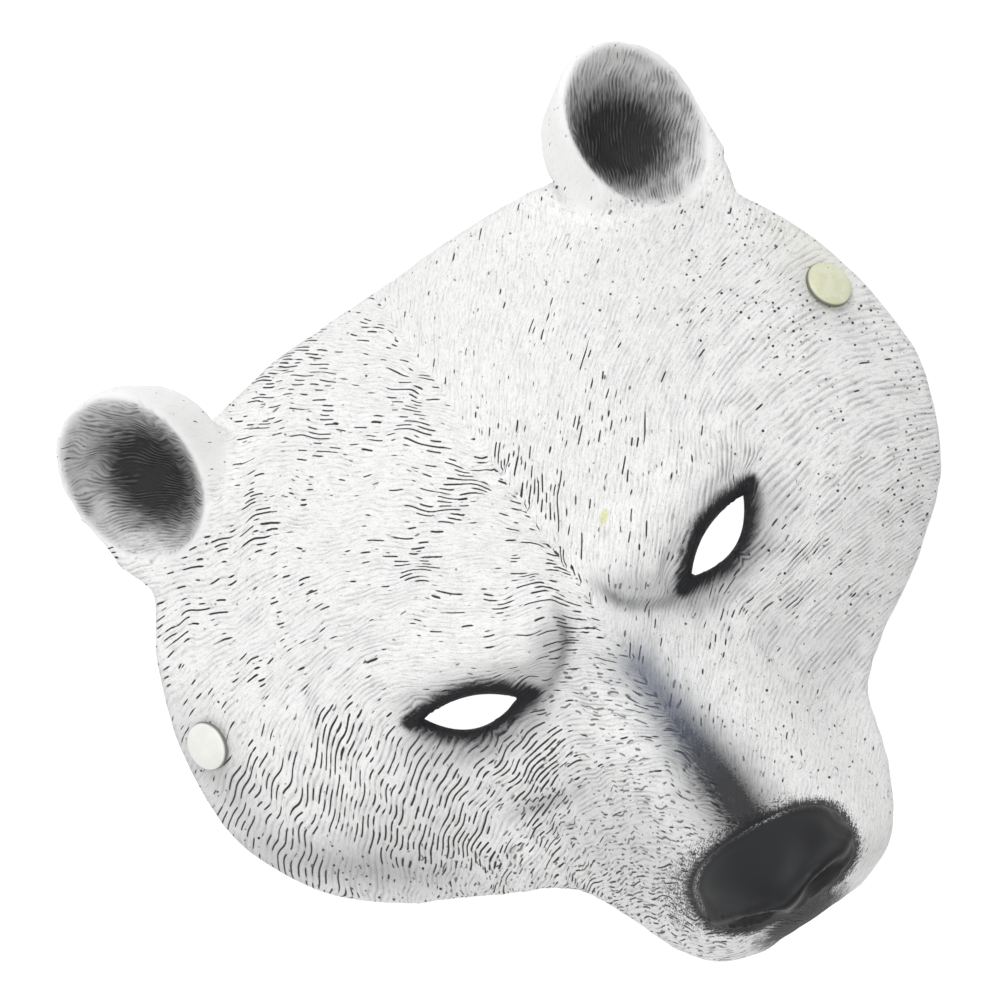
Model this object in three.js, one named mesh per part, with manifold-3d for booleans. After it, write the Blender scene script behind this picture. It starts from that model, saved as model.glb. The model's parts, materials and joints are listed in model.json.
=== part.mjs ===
// Polar bear half mask: one moulded foam shell with cupped ears, almond eye holes and a
// long muzzle, and a plastic snap fastener at each temple for a head strap.
// Millimetres. The mask lies face up on its rim: +X is the viewer's right, +Y runs from
// the nose to the ears and +Z points out of the face. Left and right are as the viewer sees them.
import * as THREE from 'three';
import { mergeVertices } from 'three/addons/utils/BufferGeometryUtils.js';
import Module from 'manifold-3d';

const wasm = await Module();
wasm.setup();

// Driving dimensions
const WALL = 3;
const ROW_STEPS = [
  { from: -88.6, to: -56, rows: 15 },
  { from: -56, to: 12, rows: 15 },
  { from: 12, to: 92, rows: 14 },
  { from: 92, to: 101.3, rows: 3 },
];
const COLUMNS = 40;
const SKULL_FULLNESS = 2.0;
const MUZZLE_SQUARENESS = 2.8;
const RIM_FADE = 6;
const SLOPE_STEP = 0.5;
const MERGE_DISTANCE = 1e-4;

const EYE = {
  x: 37.5, y: 1.3, chord: 24.4, turn: 22, upperRise: 3.2, lowerDrop: 5.3, arcPoints: 9, cutDepth: 100,
};
const NOSE = {
  x: 1.7, y: -72.6, halfWidth: 20.9, halfHeight: 13.2, squareness: 2.6, rise: 2.6, edge: 0.35,
};
const MUZZLE_LEAN = 2.4;
const EAR_LEAN = 3;
const EAR_SIDES = 26;
const EAR_MOUTH = 8;
const EAR_FLARE = 2.4;
const SNAPS = [
  { name: 'left', side: -1, x: 97.5, y: 31, color: 0xf0f1ea },
  { name: 'right', side: 1, x: 97, y: 36.5, color: 0xdfe2bd },
];
const SNAP = {
  capRadius: 6.4, capEdge: 1.1, capHeight: 2.4, postRadius: 2, seatGap: 0.5,
  socketRadius: 4.8, socketHeight: 1.8, fitGap: 0.35, holeLength: 18, sides: 24, domeSteps: 5,
};

// Cross-sections of the face from the lip to the crown, at heights y above the eye line.
// midX, rimX: middle and half width of the outline. rimZ: height of the shoulder above the table.
// edgeZ: height of the cut edge. skullZ: crown of the broad arch. muzzleZ, muzzleW: height and
// half width of the muzzle on it.
const SECTIONS = [
  { y: -88.6, midX: 2.4, rimX: 15, rimZ: 87, edgeZ: 83, skullZ: 94, muzzleZ: 4, muzzleW: 32 },
  { y: -84.8, midX: 2.8, rimX: 24, rimZ: 80, edgeZ: 76, skullZ: 93, muzzleZ: 22, muzzleW: 32 },
  { y: -79, midX: 3, rimX: 30.5, rimZ: 71, edgeZ: 67, skullZ: 90, muzzleZ: 35, muzzleW: 32 },
  { y: -69, midX: 3.4, rimX: 35.8, rimZ: 59, edgeZ: 55, skullZ: 80, muzzleZ: 39, muzzleW: 32 },
  { y: -60, midX: 3.2, rimX: 40, rimZ: 48, edgeZ: 44, skullZ: 70, muzzleZ: 41, muzzleW: 31 },
  { y: -50, midX: 2.2, rimX: 46.2, rimZ: 34, edgeZ: 30, skullZ: 63, muzzleZ: 38, muzzleW: 30 },
  { y: -42, midX: 1.2, rimX: 60.2, rimZ: 22, edgeZ: 17, skullZ: 58, muzzleZ: 35, muzzleW: 29 },
  { y: -32, midX: 0.6, rimX: 78, rimZ: 12, edgeZ: 5, skullZ: 56, muzzleZ: 28, muzzleW: 28 },
  { y: -22, midX: 0.2, rimX: 91, rimZ: 8, edgeZ: 0, skullZ: 57, muzzleZ: 19, muzzleW: 25 },
  { y: -12, midX: 0, rimX: 98.8, rimZ: 8, edgeZ: 0, skullZ: 58, muzzleZ: 11, muzzleW: 20 },
  { y: 0, midX: 0, rimX: 104.2, rimZ: 8, edgeZ: 0, skullZ: 59, muzzleZ: 4, muzzleW: 15 },
  { y: 15, midX: 0, rimX: 106.8, rimZ: 8, edgeZ: 0, skullZ: 60, muzzleZ: 0, muzzleW: 12 },
  { y: 34, midX: 0.3, rimX: 105.2, rimZ: 8, edgeZ: 0, skullZ: 58, muzzleZ: 0, muzzleW: 12 },
  { y: 51, midX: 1, rimX: 100, rimZ: 8, edgeZ: 0, skullZ: 53, muzzleZ: 0, muzzleW: 12 },
  { y: 67, midX: 1.8, rimX: 91.5, rimZ: 8, edgeZ: 0, skullZ: 45, muzzleZ: 0, muzzleW: 12 },
  { y: 81, midX: 2.2, rimX: 81, rimZ: 8, edgeZ: 0, skullZ: 34, muzzleZ: 0, muzzleW: 12 },
  { y: 92, midX: 2, rimX: 68, rimZ: 8, edgeZ: 0, skullZ: 22, muzzleZ: 0, muzzleW: 12 },
  { y: 98.5, midX: 2, rimX: 54, rimZ: 8, edgeZ: 0, skullZ: 13, muzzleZ: 0, muzzleW: 12 },
  { y: 101.3, midX: 1, rimX: 32, rimZ: 8, edgeZ: 0, skullZ: 8, muzzleZ: 0, muzzleW: 12 },
];

// Soft swellings and hollows over the arch, each on both sides of the face.
// x, y: centre. along, across: radii. turn: degrees from +X. rise: height, below zero for a hollow.
const SWELLINGS = [
  { name: 'brow', x: 33, y: 14, along: 27, across: 9, turn: 16, rise: 5.5 },
  { name: 'brow_knob', x: 14, y: 6, along: 9, across: 8, turn: -30, rise: 5 },
  { name: 'eye_socket', x: 38, y: -1, along: 17, across: 7, turn: 20, rise: -5 },
  { name: 'cheek', x: 66, y: -8, along: 22, across: 18, turn: 0, rise: 4 },
  { name: 'muzzle_fold', x: 43, y: -30, along: 18, across: 6, turn: 65, rise: -3.5 },
  { name: 'whisker_pad', x: 23, y: -65, along: 14, across: 12, turn: 90, rise: 3 },
  { name: 'temple', x: 72, y: 44, along: 26, across: 16, turn: 60, rise: -2 },
  { name: 'forehead_parting', x: 0, y: 44, along: 34, across: 6, turn: 90, rise: -0.9 },
];

// Rings of an ear cup in order from the middle of its back, over the rim, to the middle of its bowl.
// x, y, z: centre. rx, ry: radii. square: 2 for an ellipse, more for fuller corners.
// leanX, leanY: rise of the ring at its +X and +Y sides.
const EAR_RINGS = [
  { name: 'back_middle', x: 74, y: 92, z: 1, rx: 0, ry: 0, square: 2, leanX: 0, leanY: 0 },
  { name: 'back', x: 74, y: 92, z: 1.8, rx: 11, ry: 13, square: 2, leanX: 0, leanY: 1 },
  { name: 'back_side', x: 73, y: 91, z: 6, rx: 18.5, ry: 21, square: 2.3, leanX: -0.5, leanY: 2.5 },
  { name: 'flank', x: 73, y: 89.5, z: 13, rx: 21.8, ry: 27.5, square: 2.5, leanX: -2.5, leanY: 5 },
  { name: 'outer_rim', x: 77, y: 97, z: 21.5, rx: 18.2, ry: 23.8, square: 2.2, leanX: -6.5, leanY: 11 },
  { name: 'rim', x: 77.8, y: 97.6, z: 23.5, rx: 16.8, ry: 22.6, square: 2.1, leanX: -7, leanY: 12 },
  { name: 'inner_rim', x: 78.1, y: 97.6, z: 22.5, rx: 15.3, ry: 21, square: 2, leanX: -7, leanY: 12 },
  { name: 'bowl_side', x: 77.4, y: 97.8, z: 15.5, rx: 13, ry: 17.2, square: 2, leanX: -4.5, leanY: 8 },
  { name: 'bowl', x: 76.4, y: 97.8, z: 9.5, rx: 8.6, ry: 11, square: 2, leanX: -2, leanY: 3.5 },
  { name: 'bowl_middle', x: 75.6, y: 97.2, z: 7.5, rx: 0, ry: 0, square: 2, leanX: 0, leanY: 0 },
];

const FOAM = { color: 0xeceae6, roughness: 0.75, metalness: 0 };
const SNAP_PLASTIC = { roughness: 0.35, metalness: 0 };

// Smooth interpolation of every column of the section table at height y.
const sectionKeys = Object.keys(SECTIONS[0]).filter((key) => key !== 'y');
const sectionCurve = new THREE.CubicInterpolant(
  SECTIONS.map((section) => section.y),
  SECTIONS.flatMap((section) => sectionKeys.map((key) => section[key])),
  sectionKeys.length,
);

function sectionAt(y) {
  const values = sectionCurve.evaluate(y);
  return Object.fromEntries(sectionKeys.map((key, i) => [key, values[i]]));
}

// Height of a mirrored, turned Gaussian swelling at a point of the face.
function swellingAt({ x, y, along, across, turn, rise }, px, py) {
  const angle = THREE.MathUtils.degToRad(turn);
  const dx = Math.abs(px) - x;
  const dy = py - y;
  const u = (dx * Math.cos(angle) + dy * Math.sin(angle)) / along;
  const v = (dy * Math.cos(angle) - dx * Math.sin(angle)) / across;
  return rise * Math.exp(-u * u - v * v);
}

// The raised leathery pad at the end of the muzzle, with a rounded edge.
function nosePadAt(x, y) {
  const reach = Math.abs((x - NOSE.x) / NOSE.halfWidth) ** NOSE.squareness
    + Math.abs((y - NOSE.y) / NOSE.halfHeight) ** NOSE.squareness;
  return NOSE.rise * (1 - THREE.MathUtils.smoothstep(reach, 1 - NOSE.edge, 1 + NOSE.edge));
}

// Outer surface of the face without the nose pad: the skull's arch, the muzzle and the swellings.
function faceAt(x, y) {
  const section = sectionAt(y);
  const side = Math.min(1, Math.abs(x - section.midX) / section.rimX);
  const beside = Math.abs(x - MUZZLE_LEAN) / section.muzzleW;
  const arch = section.rimZ + (section.skullZ - section.rimZ) * (1 - side ** SKULL_FULLNESS);
  const muzzle = section.muzzleZ * Math.exp(-(beside ** MUZZLE_SQUARENESS));
  const relief = SWELLINGS.reduce((sum, swelling) => sum + swellingAt(swelling, x, y), 0);
  return arch + muzzle + relief * (1 - side ** RIM_FADE);
}

function normalAt(x, y) {
  const slopeX = (faceAt(x + SLOPE_STEP, y) - faceAt(x - SLOPE_STEP, y)) / (2 * SLOPE_STEP);
  const slopeY = (faceAt(x, y + SLOPE_STEP) - faceAt(x, y - SLOPE_STEP)) / (2 * SLOPE_STEP);
  return new THREE.Vector3(-slopeX, -slopeY, 1).normalize();
}

function geometryOf(points, triangles) {
  const geometry = new THREE.BufferGeometry().setFromPoints(points);
  geometry.setIndex(triangles.flat());
  return geometry;
}

function solidOf(geometry) {
  const bare = geometry.clone();
  bare.deleteAttribute('normal');
  bare.deleteAttribute('uv');
  const merged = mergeVertices(bare, MERGE_DISTANCE);
  return new wasm.Manifold(new wasm.Mesh({
    numProp: 3,
    vertProperties: merged.attributes.position.array,
    triVerts: new Uint32Array(merged.index.array),
  }));
}

function geometryOfSolid(solid) {
  const mesh = solid.getMesh();
  const geometry = new THREE.BufferGeometry();
  geometry.setAttribute('position', new THREE.BufferAttribute(mesh.vertProperties, mesh.numProp));
  geometry.setIndex(new THREE.BufferAttribute(mesh.triVerts, 1));
  geometry.computeVertexNormals();
  return geometry;
}

// Two triangles for the quad a, b, c, d, counter-clockwise from outside.
function quad(a, b, c, d) {
  return [[a, b, c], [a, c, d]];
}

// The foam face: an outer and an inner skin over one grid, closed by a straight-cut edge all round.
function faceShell() {
  const rows = ROW_STEPS.flatMap(({ from, to, rows: count }) => Array.from(
    { length: count }, (_, i) => THREE.MathUtils.lerp(from, to, i / count)));
  rows.push(ROW_STEPS.at(-1).to);
  const columns = Array.from({ length: COLUMNS + 1 }, (_, j) => (2 * j) / COLUMNS - 1);
  const wide = columns.length;
  const index = (i, j) => i * wide + j;

  const outer = rows.flatMap((y) => columns.map((t) => {
    const { midX, rimX } = sectionAt(y);
    const x = midX + t * rimX;
    return new THREE.Vector3(x, y, faceAt(x, y) + nosePadAt(x, y));
  }));
  const inner = outer.map(({ x, y }) => new THREE.Vector3(x, y, faceAt(x, y))
    .addScaledVector(normalAt(x, y), -WALL));

  // Walk the boundary counter-clockwise: lip, right side, crown, left side.
  const last = rows.length - 1;
  const loop = [
    ...columns.map((_, j) => index(0, j)),
    ...rows.slice(1).map((_, i) => index(i + 1, wide - 1)),
    ...columns.slice(1).map((_, j) => index(last, wide - 2 - j)),
    ...rows.slice(1, -1).map((_, i) => index(last - 1 - i, 0)),
  ];
  const at = (k) => loop[(k + loop.length) % loop.length];
  const insets = loop.map((_, k) => {
    const run = outer[at(k + 1)].clone().sub(outer[at(k - 1)]).setZ(0).normalize();
    return new THREE.Vector3(-run.y, run.x, 0).multiplyScalar(WALL);
  });
  loop.forEach((id, k) => inner[id].copy(outer[id]).add(insets[k]));
  const cutEdge = (points) => loop.map((id) => points[id].clone()
    .setZ(Math.max(0, sectionAt(outer[id].y).edgeZ)));

  const points = [...outer, ...inner, ...cutEdge(outer), ...cutEdge(inner)];
  const under = outer.length;
  const outerEdge = 2 * outer.length;
  const innerEdge = outerEdge + loop.length;
  const triangles = [];
  for (let i = 0; i < last; i += 1) {
    for (let j = 0; j < wide - 1; j += 1) {
      const corners = [index(i, j), index(i, j + 1), index(i + 1, j + 1), index(i + 1, j)];
      triangles.push(...quad(...corners));
      triangles.push(...quad(...corners.reverse().map((id) => id + under)));
    }
  }
  loop.forEach((id, k) => {
    const next = (k + 1) % loop.length;
    triangles.push(...quad(outerEdge + k, outerEdge + next, loop[next], id));
    triangles.push(...quad(innerEdge + k, innerEdge + next, outerEdge + next, outerEdge + k));
    triangles.push(...quad(id + under, loop[next] + under, innerEdge + next, innerEdge + k));
  });
  return solidOf(geometryOf(points, triangles));
}

// An almond bounded by two arcs, extruded through the wall.
function eyeCutter(side) {
  const arc = (sagitta) => Array.from({ length: EYE.arcPoints }, (_, i) => {
    const u = (2 * (i + 1)) / (EYE.arcPoints + 1) - 1;
    return new THREE.Vector2((u * EYE.chord) / 2, sagitta * (1 - u * u));
  });
  const corner = new THREE.Vector2(EYE.chord / 2, 0);
  const upper = arc(EYE.upperRise).reverse();
  const outline = [corner.clone().negate(), ...arc(-EYE.lowerDrop), corner, ...upper];
  const turn = THREE.MathUtils.degToRad(EYE.turn);
  const shape = new THREE.Shape(outline.map((p) => p.rotateAround(new THREE.Vector2(), turn)
    .add(new THREE.Vector2(EYE.x, EYE.y))).map((p) => new THREE.Vector2(side * p.x, p.y)));
  return solidOf(new THREE.ExtrudeGeometry(shape, { depth: EYE.cutDepth, bevelEnabled: false }));
}

// A closed loft through rings of points; a ring of no radius is a pole.
function loftRings(rings, side) {
  const points = [];
  const full = (value, square) => Math.sign(value) * Math.abs(value) ** (2 / square);
  const starts = rings.map(({ x, y, z, rx, ry, square, leanX, leanY }) => {
    const start = points.length;
    const sides = rx === 0 ? 1 : EAR_SIDES;
    for (let k = 0; k < sides; k += 1) {
      const angle = (2 * Math.PI * k) / sides;
      const [c, s] = [full(Math.cos(angle), square), full(Math.sin(angle), square)];
      points.push(new THREE.Vector3(
        EAR_LEAN + side * (x + rx * c), y + ry * s, z + (rx === 0 ? 0 : leanX * c + leanY * s)));
    }
    return { start, sides };
  });
  const triangles = [];
  const ringPoint = ({ start, sides }, k) => start + (k % sides);
  for (let r = 0; r < rings.length - 1; r += 1) {
    for (let k = 0; k < EAR_SIDES; k += 1) {
      const [a, b] = [ringPoint(starts[r], k), ringPoint(starts[r], k + 1)];
      const [c, d] = [ringPoint(starts[r + 1], k + 1), ringPoint(starts[r + 1], k)];
      triangles.push(...quad(a, b, c, d).filter((t) => new Set(t).size === 3));
    }
  }
  const facing = side > 0 ? triangles : triangles.map((t) => t.reverse());
  return solidOf(geometryOf(points, facing));
}

// The outside of an ear as a filled body, and the bowl to be cut from it.
function ear(side) {
  const rim = EAR_RINGS.findIndex((ring) => ring.name === 'rim');
  const mouth = EAR_RINGS[rim + 1];
  const flared = { rx: mouth.rx + EAR_FLARE, ry: mouth.ry + EAR_FLARE };
  const above = { ...mouth, ...flared, z: mouth.z + EAR_MOUTH };
  const body = [...EAR_RINGS.slice(0, rim + 1), { ...EAR_RINGS[rim], rx: 0, ry: 0 }];
  const bowl = [{ ...above, rx: 0, ry: 0 }, above, ...EAR_RINGS.slice(rim + 1)].reverse();
  return { body: loftRings(body, side), bowl: loftRings(bowl, side) };
}

// Where a snap sits: on the outer skin at the temple, with +Y turned onto the skin's normal.
function snapSeat({ side, x, y }) {
  const normal = normalAt(side * x, y);
  const position = new THREE.Vector3(side * x, y, faceAt(side * x, y));
  const turn = new THREE.Quaternion().setFromUnitVectors(new THREE.Vector3(0, 1, 0), normal);
  return { position, turn };
}

function snapHole(place) {
  const { position, turn } = snapSeat(place);
  const hole = new THREE.CylinderGeometry(
    SNAP.postRadius + SNAP.fitGap, SNAP.postRadius + SNAP.fitGap, SNAP.holeLength, SNAP.sides);
  return solidOf(hole.applyQuaternion(turn).translate(...position.toArray()));
}

// The shell with its ears set in and its eye and snap holes cut.
function maskShell() {
  let shell = faceShell();
  for (const place of SNAPS) {
    const { body, bowl } = ear(place.side);
    shell = shell.add(body).subtract(bowl).subtract(eyeCutter(place.side)).subtract(snapHole(place));
  }
  return geometryOfSolid(shell);
}

// Domed cap and the post that passes through the foam.
function snapCap() {
  const postEnd = -(SNAP.seatGap + WALL + SNAP.fitGap + SNAP.socketHeight);
  const domeRise = SNAP.capHeight - SNAP.capEdge;
  const dome = new THREE.EllipseCurve(0, SNAP.capEdge, SNAP.capRadius, domeRise, 0, Math.PI / 2);
  return new THREE.LatheGeometry([
    new THREE.Vector2(0, postEnd),
    new THREE.Vector2(SNAP.postRadius, postEnd),
    new THREE.Vector2(SNAP.postRadius, 0),
    new THREE.Vector2(SNAP.capRadius, 0),
    ...dome.getPoints(SNAP.domeSteps).slice(0, -1),
    new THREE.Vector2(0, SNAP.capHeight),
  ], SNAP.sides);
}

// Plain ring that grips the post behind the foam.
function snapSocket() {
  const bore = SNAP.postRadius + SNAP.fitGap;
  const corners = [[bore, 0], [SNAP.socketRadius, 0], [SNAP.socketRadius, SNAP.socketHeight],
    [bore, SNAP.socketHeight], [bore, 0]];
  return new THREE.LatheGeometry(corners.map(([r, h]) => new THREE.Vector2(r, h)), SNAP.sides);
}

function named(name, geometry, finish) {
  const mesh = new THREE.Mesh(geometry, new THREE.MeshStandardMaterial(finish));
  mesh.name = name;
  return mesh;
}

const face = new THREE.Group();
face.add(named('mask_shell', maskShell(), FOAM));
for (const place of SNAPS) {
  const { position, turn } = snapSeat(place);
  const snap = new THREE.Group();
  snap.position.copy(position);
  snap.quaternion.copy(turn);
  const plastic = { ...SNAP_PLASTIC, color: place.color };
  const cap = named(`snap_cap_${place.name}`, snapCap(), plastic);
  cap.position.y = SNAP.seatGap;
  const socket = named(`snap_socket_${place.name}`, snapSocket(), plastic);
  socket.position.y = -(WALL + SNAP.fitGap + SNAP.socketHeight);
  snap.add(cap, socket);
  face.add(snap);
}

// The part's origin is under the middle of the mask, on the table it rests on.
const mask = new THREE.Group();
mask.add(face);
const middle = new THREE.Box3().setFromObject(face, true).getCenter(new THREE.Vector3());
face.position.y = -middle.y;

export default mask;
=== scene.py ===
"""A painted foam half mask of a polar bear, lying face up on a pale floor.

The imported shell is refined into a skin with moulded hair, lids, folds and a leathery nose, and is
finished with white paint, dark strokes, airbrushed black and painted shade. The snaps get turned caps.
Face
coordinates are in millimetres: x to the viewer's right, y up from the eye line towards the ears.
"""
import json
import logging
import math
from collections.abc import Callable
from dataclasses import dataclass
from enum import Enum
from typing import Any

import bmesh
import bpy
import numpy as np
from mathutils import Matrix, Vector, noise
from mathutils.bvhtree import BVHTree


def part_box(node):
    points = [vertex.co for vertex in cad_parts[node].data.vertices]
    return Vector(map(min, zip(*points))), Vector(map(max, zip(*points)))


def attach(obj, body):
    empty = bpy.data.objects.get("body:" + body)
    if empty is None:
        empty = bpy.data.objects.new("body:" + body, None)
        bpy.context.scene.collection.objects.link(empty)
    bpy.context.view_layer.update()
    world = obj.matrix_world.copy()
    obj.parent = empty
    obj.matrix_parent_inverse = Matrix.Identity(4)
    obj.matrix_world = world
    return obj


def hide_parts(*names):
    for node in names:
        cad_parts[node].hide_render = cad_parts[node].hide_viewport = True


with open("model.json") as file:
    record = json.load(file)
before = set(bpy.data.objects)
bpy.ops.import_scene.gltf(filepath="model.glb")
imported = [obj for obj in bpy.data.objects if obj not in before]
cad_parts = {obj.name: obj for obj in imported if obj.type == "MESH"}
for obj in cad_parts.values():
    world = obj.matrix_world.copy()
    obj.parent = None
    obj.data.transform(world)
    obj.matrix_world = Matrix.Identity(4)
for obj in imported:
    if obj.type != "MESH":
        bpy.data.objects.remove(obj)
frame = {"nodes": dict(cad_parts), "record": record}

LOG = logging.getLogger("polar_bear_mask")
Array = np.ndarray
Colour = tuple[float, float, float, float]

MM = 0.001
LIP_TO_EYES = 88.6
EYE_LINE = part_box("mask_shell")[0].y / MM + LIP_TO_EYES
MIDLINE = 2.4
FLOW_UV = "fur_flow"


class Side(Enum):
    """The two sides of the face, as the viewer sees them."""

    LEFT = -1
    RIGHT = 1


def ramp(value: Array, start: float, end: float) -> Array:
    """A straight ramp from 0 at the start to 1 at the end, level beyond both."""
    return np.clip((value - start) / (end - start), 0, 1)


def bell(value: Array, middle: Any, width: float) -> Array:
    """A soft bump, 1 at the middle and fading out over the width on both sides."""
    return np.exp(-(((value - middle) / width) ** 2))


@dataclass(frozen=True)
class Cloud:
    """Smooth noise over a surface: its cell's two sizes in millimetres, and which layer of it is taken."""

    first: float
    second: float
    layer: float

    def at(self, first: Array, second: Array) -> Array:
        """The noise, about -1 to 1, at points in millimetres."""
        cells = zip(first / self.first, second / self.second)
        return np.array([noise.noise(Vector((a, b, self.layer))) for a, b in cells])


LUMPS, CLUMPS, BLOTCHES = Cloud(17, 17, 0.3), Cloud(13, 13, 5.2), Cloud(3.5, 3.5, 2.6)
LOCKS, WANDER, PATCHES = Cloud(9.5, 2.9, 4.1), Cloud(7.0, 5.5, 7.7), Cloud(6.5, 2.4, 1.9)


def read_rows(items: Any, name: str, width: int, kind: type = float) -> Array:
    """Reads a property of many mesh elements.

    Args:
        items: The elements.
        name: The property.
        width: How many numbers it has.
        kind: float or int.

    Returns:
        One row for each element.
    """
    flat = np.zeros(len(items) * width, np.int32 if kind is int else np.float32)
    items.foreach_get(name, flat)
    return flat.reshape(-1, width).astype(kind)


def merged_copy(node: bpy.types.Object) -> bpy.types.Mesh:
    """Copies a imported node's mesh and joins its loose triangles up.

    Args:
        node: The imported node, which stays as it is.

    Returns:
        The copy.
    """
    mesh = bpy.data.meshes.new("packed_copy")
    work = bmesh.new()
    work.from_mesh(node.data)
    bmesh.ops.remove_doubles(work, verts=work.verts, dist=1e-6)
    work.to_mesh(mesh)
    work.free()
    return mesh


def move_to(mesh: bpy.types.Mesh, points: Array) -> None:
    """Puts a mesh's vertices at the points."""
    mesh.vertices.foreach_set("co", points.astype(np.float32).ravel())
    mesh.update()


def store(mesh: bpy.types.Mesh, name: str, values: Array) -> None:
    """Stores one number for each vertex on a mesh."""
    mark = mesh.attributes.new(name, "FLOAT", "POINT")
    mark.data.foreach_set("value", values.astype(np.float32))


def tree_of(points: Array, faces: Any) -> BVHTree:
    """A search tree of faces over points."""
    return BVHTree.FromPolygons([Vector(p) for p in points], [[int(i) for i in face] for face in faces])


def math_method(operation: str, swapped: bool = False) -> Callable[..., "Value"]:
    """Makes a method that adds one Math node.

    Args:
        operation: The node's operation.
        swapped: True where the other term comes first.

    Returns:
        The method, for the class of shader values.
    """

    def method(self: "Value", *others: "Number") -> "Value":
        """The Math node's result on this value and any others."""
        return self.kit.math(operation, *((*others, self) if swapped else (self, *others)))

    return method


class Value:
    """A shader socket that can stand in a Python expression."""

    def __init__(self, kit: "NodeKit", socket: bpy.types.NodeSocket) -> None:
        """Keeps the socket and the tree that it belongs to."""
        self.kit = kit
        self.socket = socket

    __add__ = __radd__ = math_method("ADD")
    __sub__ = math_method("SUBTRACT")
    __rsub__ = math_method("SUBTRACT", True)
    __mul__ = __rmul__ = math_method("MULTIPLY")
    __truediv__ = math_method("DIVIDE")
    __pow__ = math_method("POWER")
    __abs__ = math_method("ABSOLUTE")
    cos = math_method("COSINE")
    whole = math_method("ROUND")
    exp = math_method("EXPONENT")
    root = math_method("SQRT")
    at_least = math_method("MAXIMUM")
    at_most = math_method("MINIMUM")

    def step(self, low: "Number", high: "Number") -> "Value":
        """A smooth step from 0 at low to 1 at high."""
        made = self.kit.node(
            "ShaderNodeMapRange",
            {"interpolation_type": "SMOOTHSTEP"},
            {"Value": self, "From Min": low, "From Max": high},
        )
        return Value(self.kit, made.outputs[0])


Number = Value | float


class NodeKit:
    """The node tree of one material, written as expressions."""

    def __init__(self, name: str) -> None:
        """Starts an empty material with that name."""
        self.material = bpy.data.materials.new(name)
        self.material.use_nodes = True
        self.tree = self.material.node_tree
        self.tree.nodes.clear()

    def node(self, kind: str, settings: dict[str, Any], inputs: dict[Any, Any]) -> bpy.types.Node:
        """Adds one node.

        Args:
            kind: The node's type name.
            settings: Properties of the node, set before its sockets.
            inputs: Values, or Value links, by socket name or number.

        Returns:
            The new node.
        """
        made = self.tree.nodes.new(kind)
        for name, value in settings.items():
            setattr(made, name, value)
        for name, value in inputs.items():
            if isinstance(value, Value):
                self.tree.links.new(value.socket, made.inputs[name])
            else:
                made.inputs[name].default_value = value
        return made

    def math(self, operation: str, *terms: Number) -> Value:
        """Adds a Math node on the given terms and returns its result."""
        made = self.node("ShaderNodeMath", {"operation": operation}, dict(enumerate(terms)))
        return Value(self, made.outputs[0])

    def mix(self, share: Number, first: Any, second: Any) -> Value:
        """Blends two colours and returns the result, the second at a share of 1."""
        made = self.node("ShaderNodeMix", {"data_type": "RGBA"}, {0: share, 6: first, 7: second})
        return Value(self, made.outputs[2])

    def vector(self, x: Number, y: Number, z: Number = 0.0) -> Value:
        """Joins three values into a vector."""
        made = self.node("ShaderNodeCombineXYZ", {}, {0: x, 1: y, 2: z})
        return Value(self, made.outputs[0])

    def parts(self, vector: Value) -> list[Value]:
        """Splits a vector or colour into its three parts."""
        made = self.node("ShaderNodeSeparateXYZ", {}, {0: vector})
        return [Value(self, socket) for socket in made.outputs]

    def attribute(self, name: str) -> Value:
        """Reads a number that is stored on the mesh."""
        made = self.node("ShaderNodeAttribute", {"attribute_name": name}, {})
        return Value(self, made.outputs["Fac"])

    def place(self) -> list[Value]:
        """Reads the surface point.

        Returns:
            Its x, y and z in face millimetres.
        """
        made = self.node("ShaderNodeTexCoord", {}, {})
        x, y, z = self.parts(Value(self, made.outputs["Object"]))
        return [x / MM, y / MM - EYE_LINE, z / MM]

    def along_fur(self) -> list[Value]:
        """Millimetres along and across the hair at the surface point."""
        made = self.node("ShaderNodeUVMap", {"uv_map": FLOW_UV}, {})
        return self.parts(Value(self, made.outputs[0]))[:2]

    def noise(self, x: Number, y: Number, z: Number | None = None, detail: float = 1.0) -> Value:
        """Smooth noise, about 0 to 1, at a point of a plane or of space given in noise cells."""
        made = self.node(
            "ShaderNodeTexNoise",
            {"noise_dimensions": "2D" if z is None else "3D"},
            {"Vector": self.vector(x, y, 0.0 if z is None else z), "Scale": 1.0, "Detail": detail},
        )
        return Value(self, made.outputs[0])

    def cells(self, x: Number, y: Number) -> tuple[Value, Value]:
        """Scattered points, one in each cell of a plane, as the nearest one's place and random colour."""
        made = self.node(
            "ShaderNodeTexVoronoi",
            {"voronoi_dimensions": "2D"},
            {"Vector": self.vector(x, y), "Scale": 1.0, "Randomness": 1.0},
        )
        return Value(self, made.outputs["Position"]), Value(self, made.outputs["Color"])

    def finish(
        self,
        colour: Any,
        roughness: Number,
        height: Value | None = None,
        fixed: dict[str, Any] | None = None,
    ) -> bpy.types.Material:
        """Closes the tree with a Principled shader.

        Args:
            colour: Base colour.
            roughness: Roughness.
            height: Relief in millimetres, or nothing.
            fixed: Further sockets that are the same all over.

        Returns:
            The finished material.
        """
        inputs = {"Base Color": colour, "Roughness": roughness, **(fixed or {})}
        if height is not None:
            bump = self.node("ShaderNodeBump", {}, {"Height": height, "Distance": MM})
            inputs["Normal"] = Value(self, bump.outputs[0])
        shader = self.node("ShaderNodeBsdfPrincipled", {}, inputs)
        self.node("ShaderNodeOutputMaterial", {}, {"Surface": Value(self, shader.outputs[0])})
        return self.material


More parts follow.
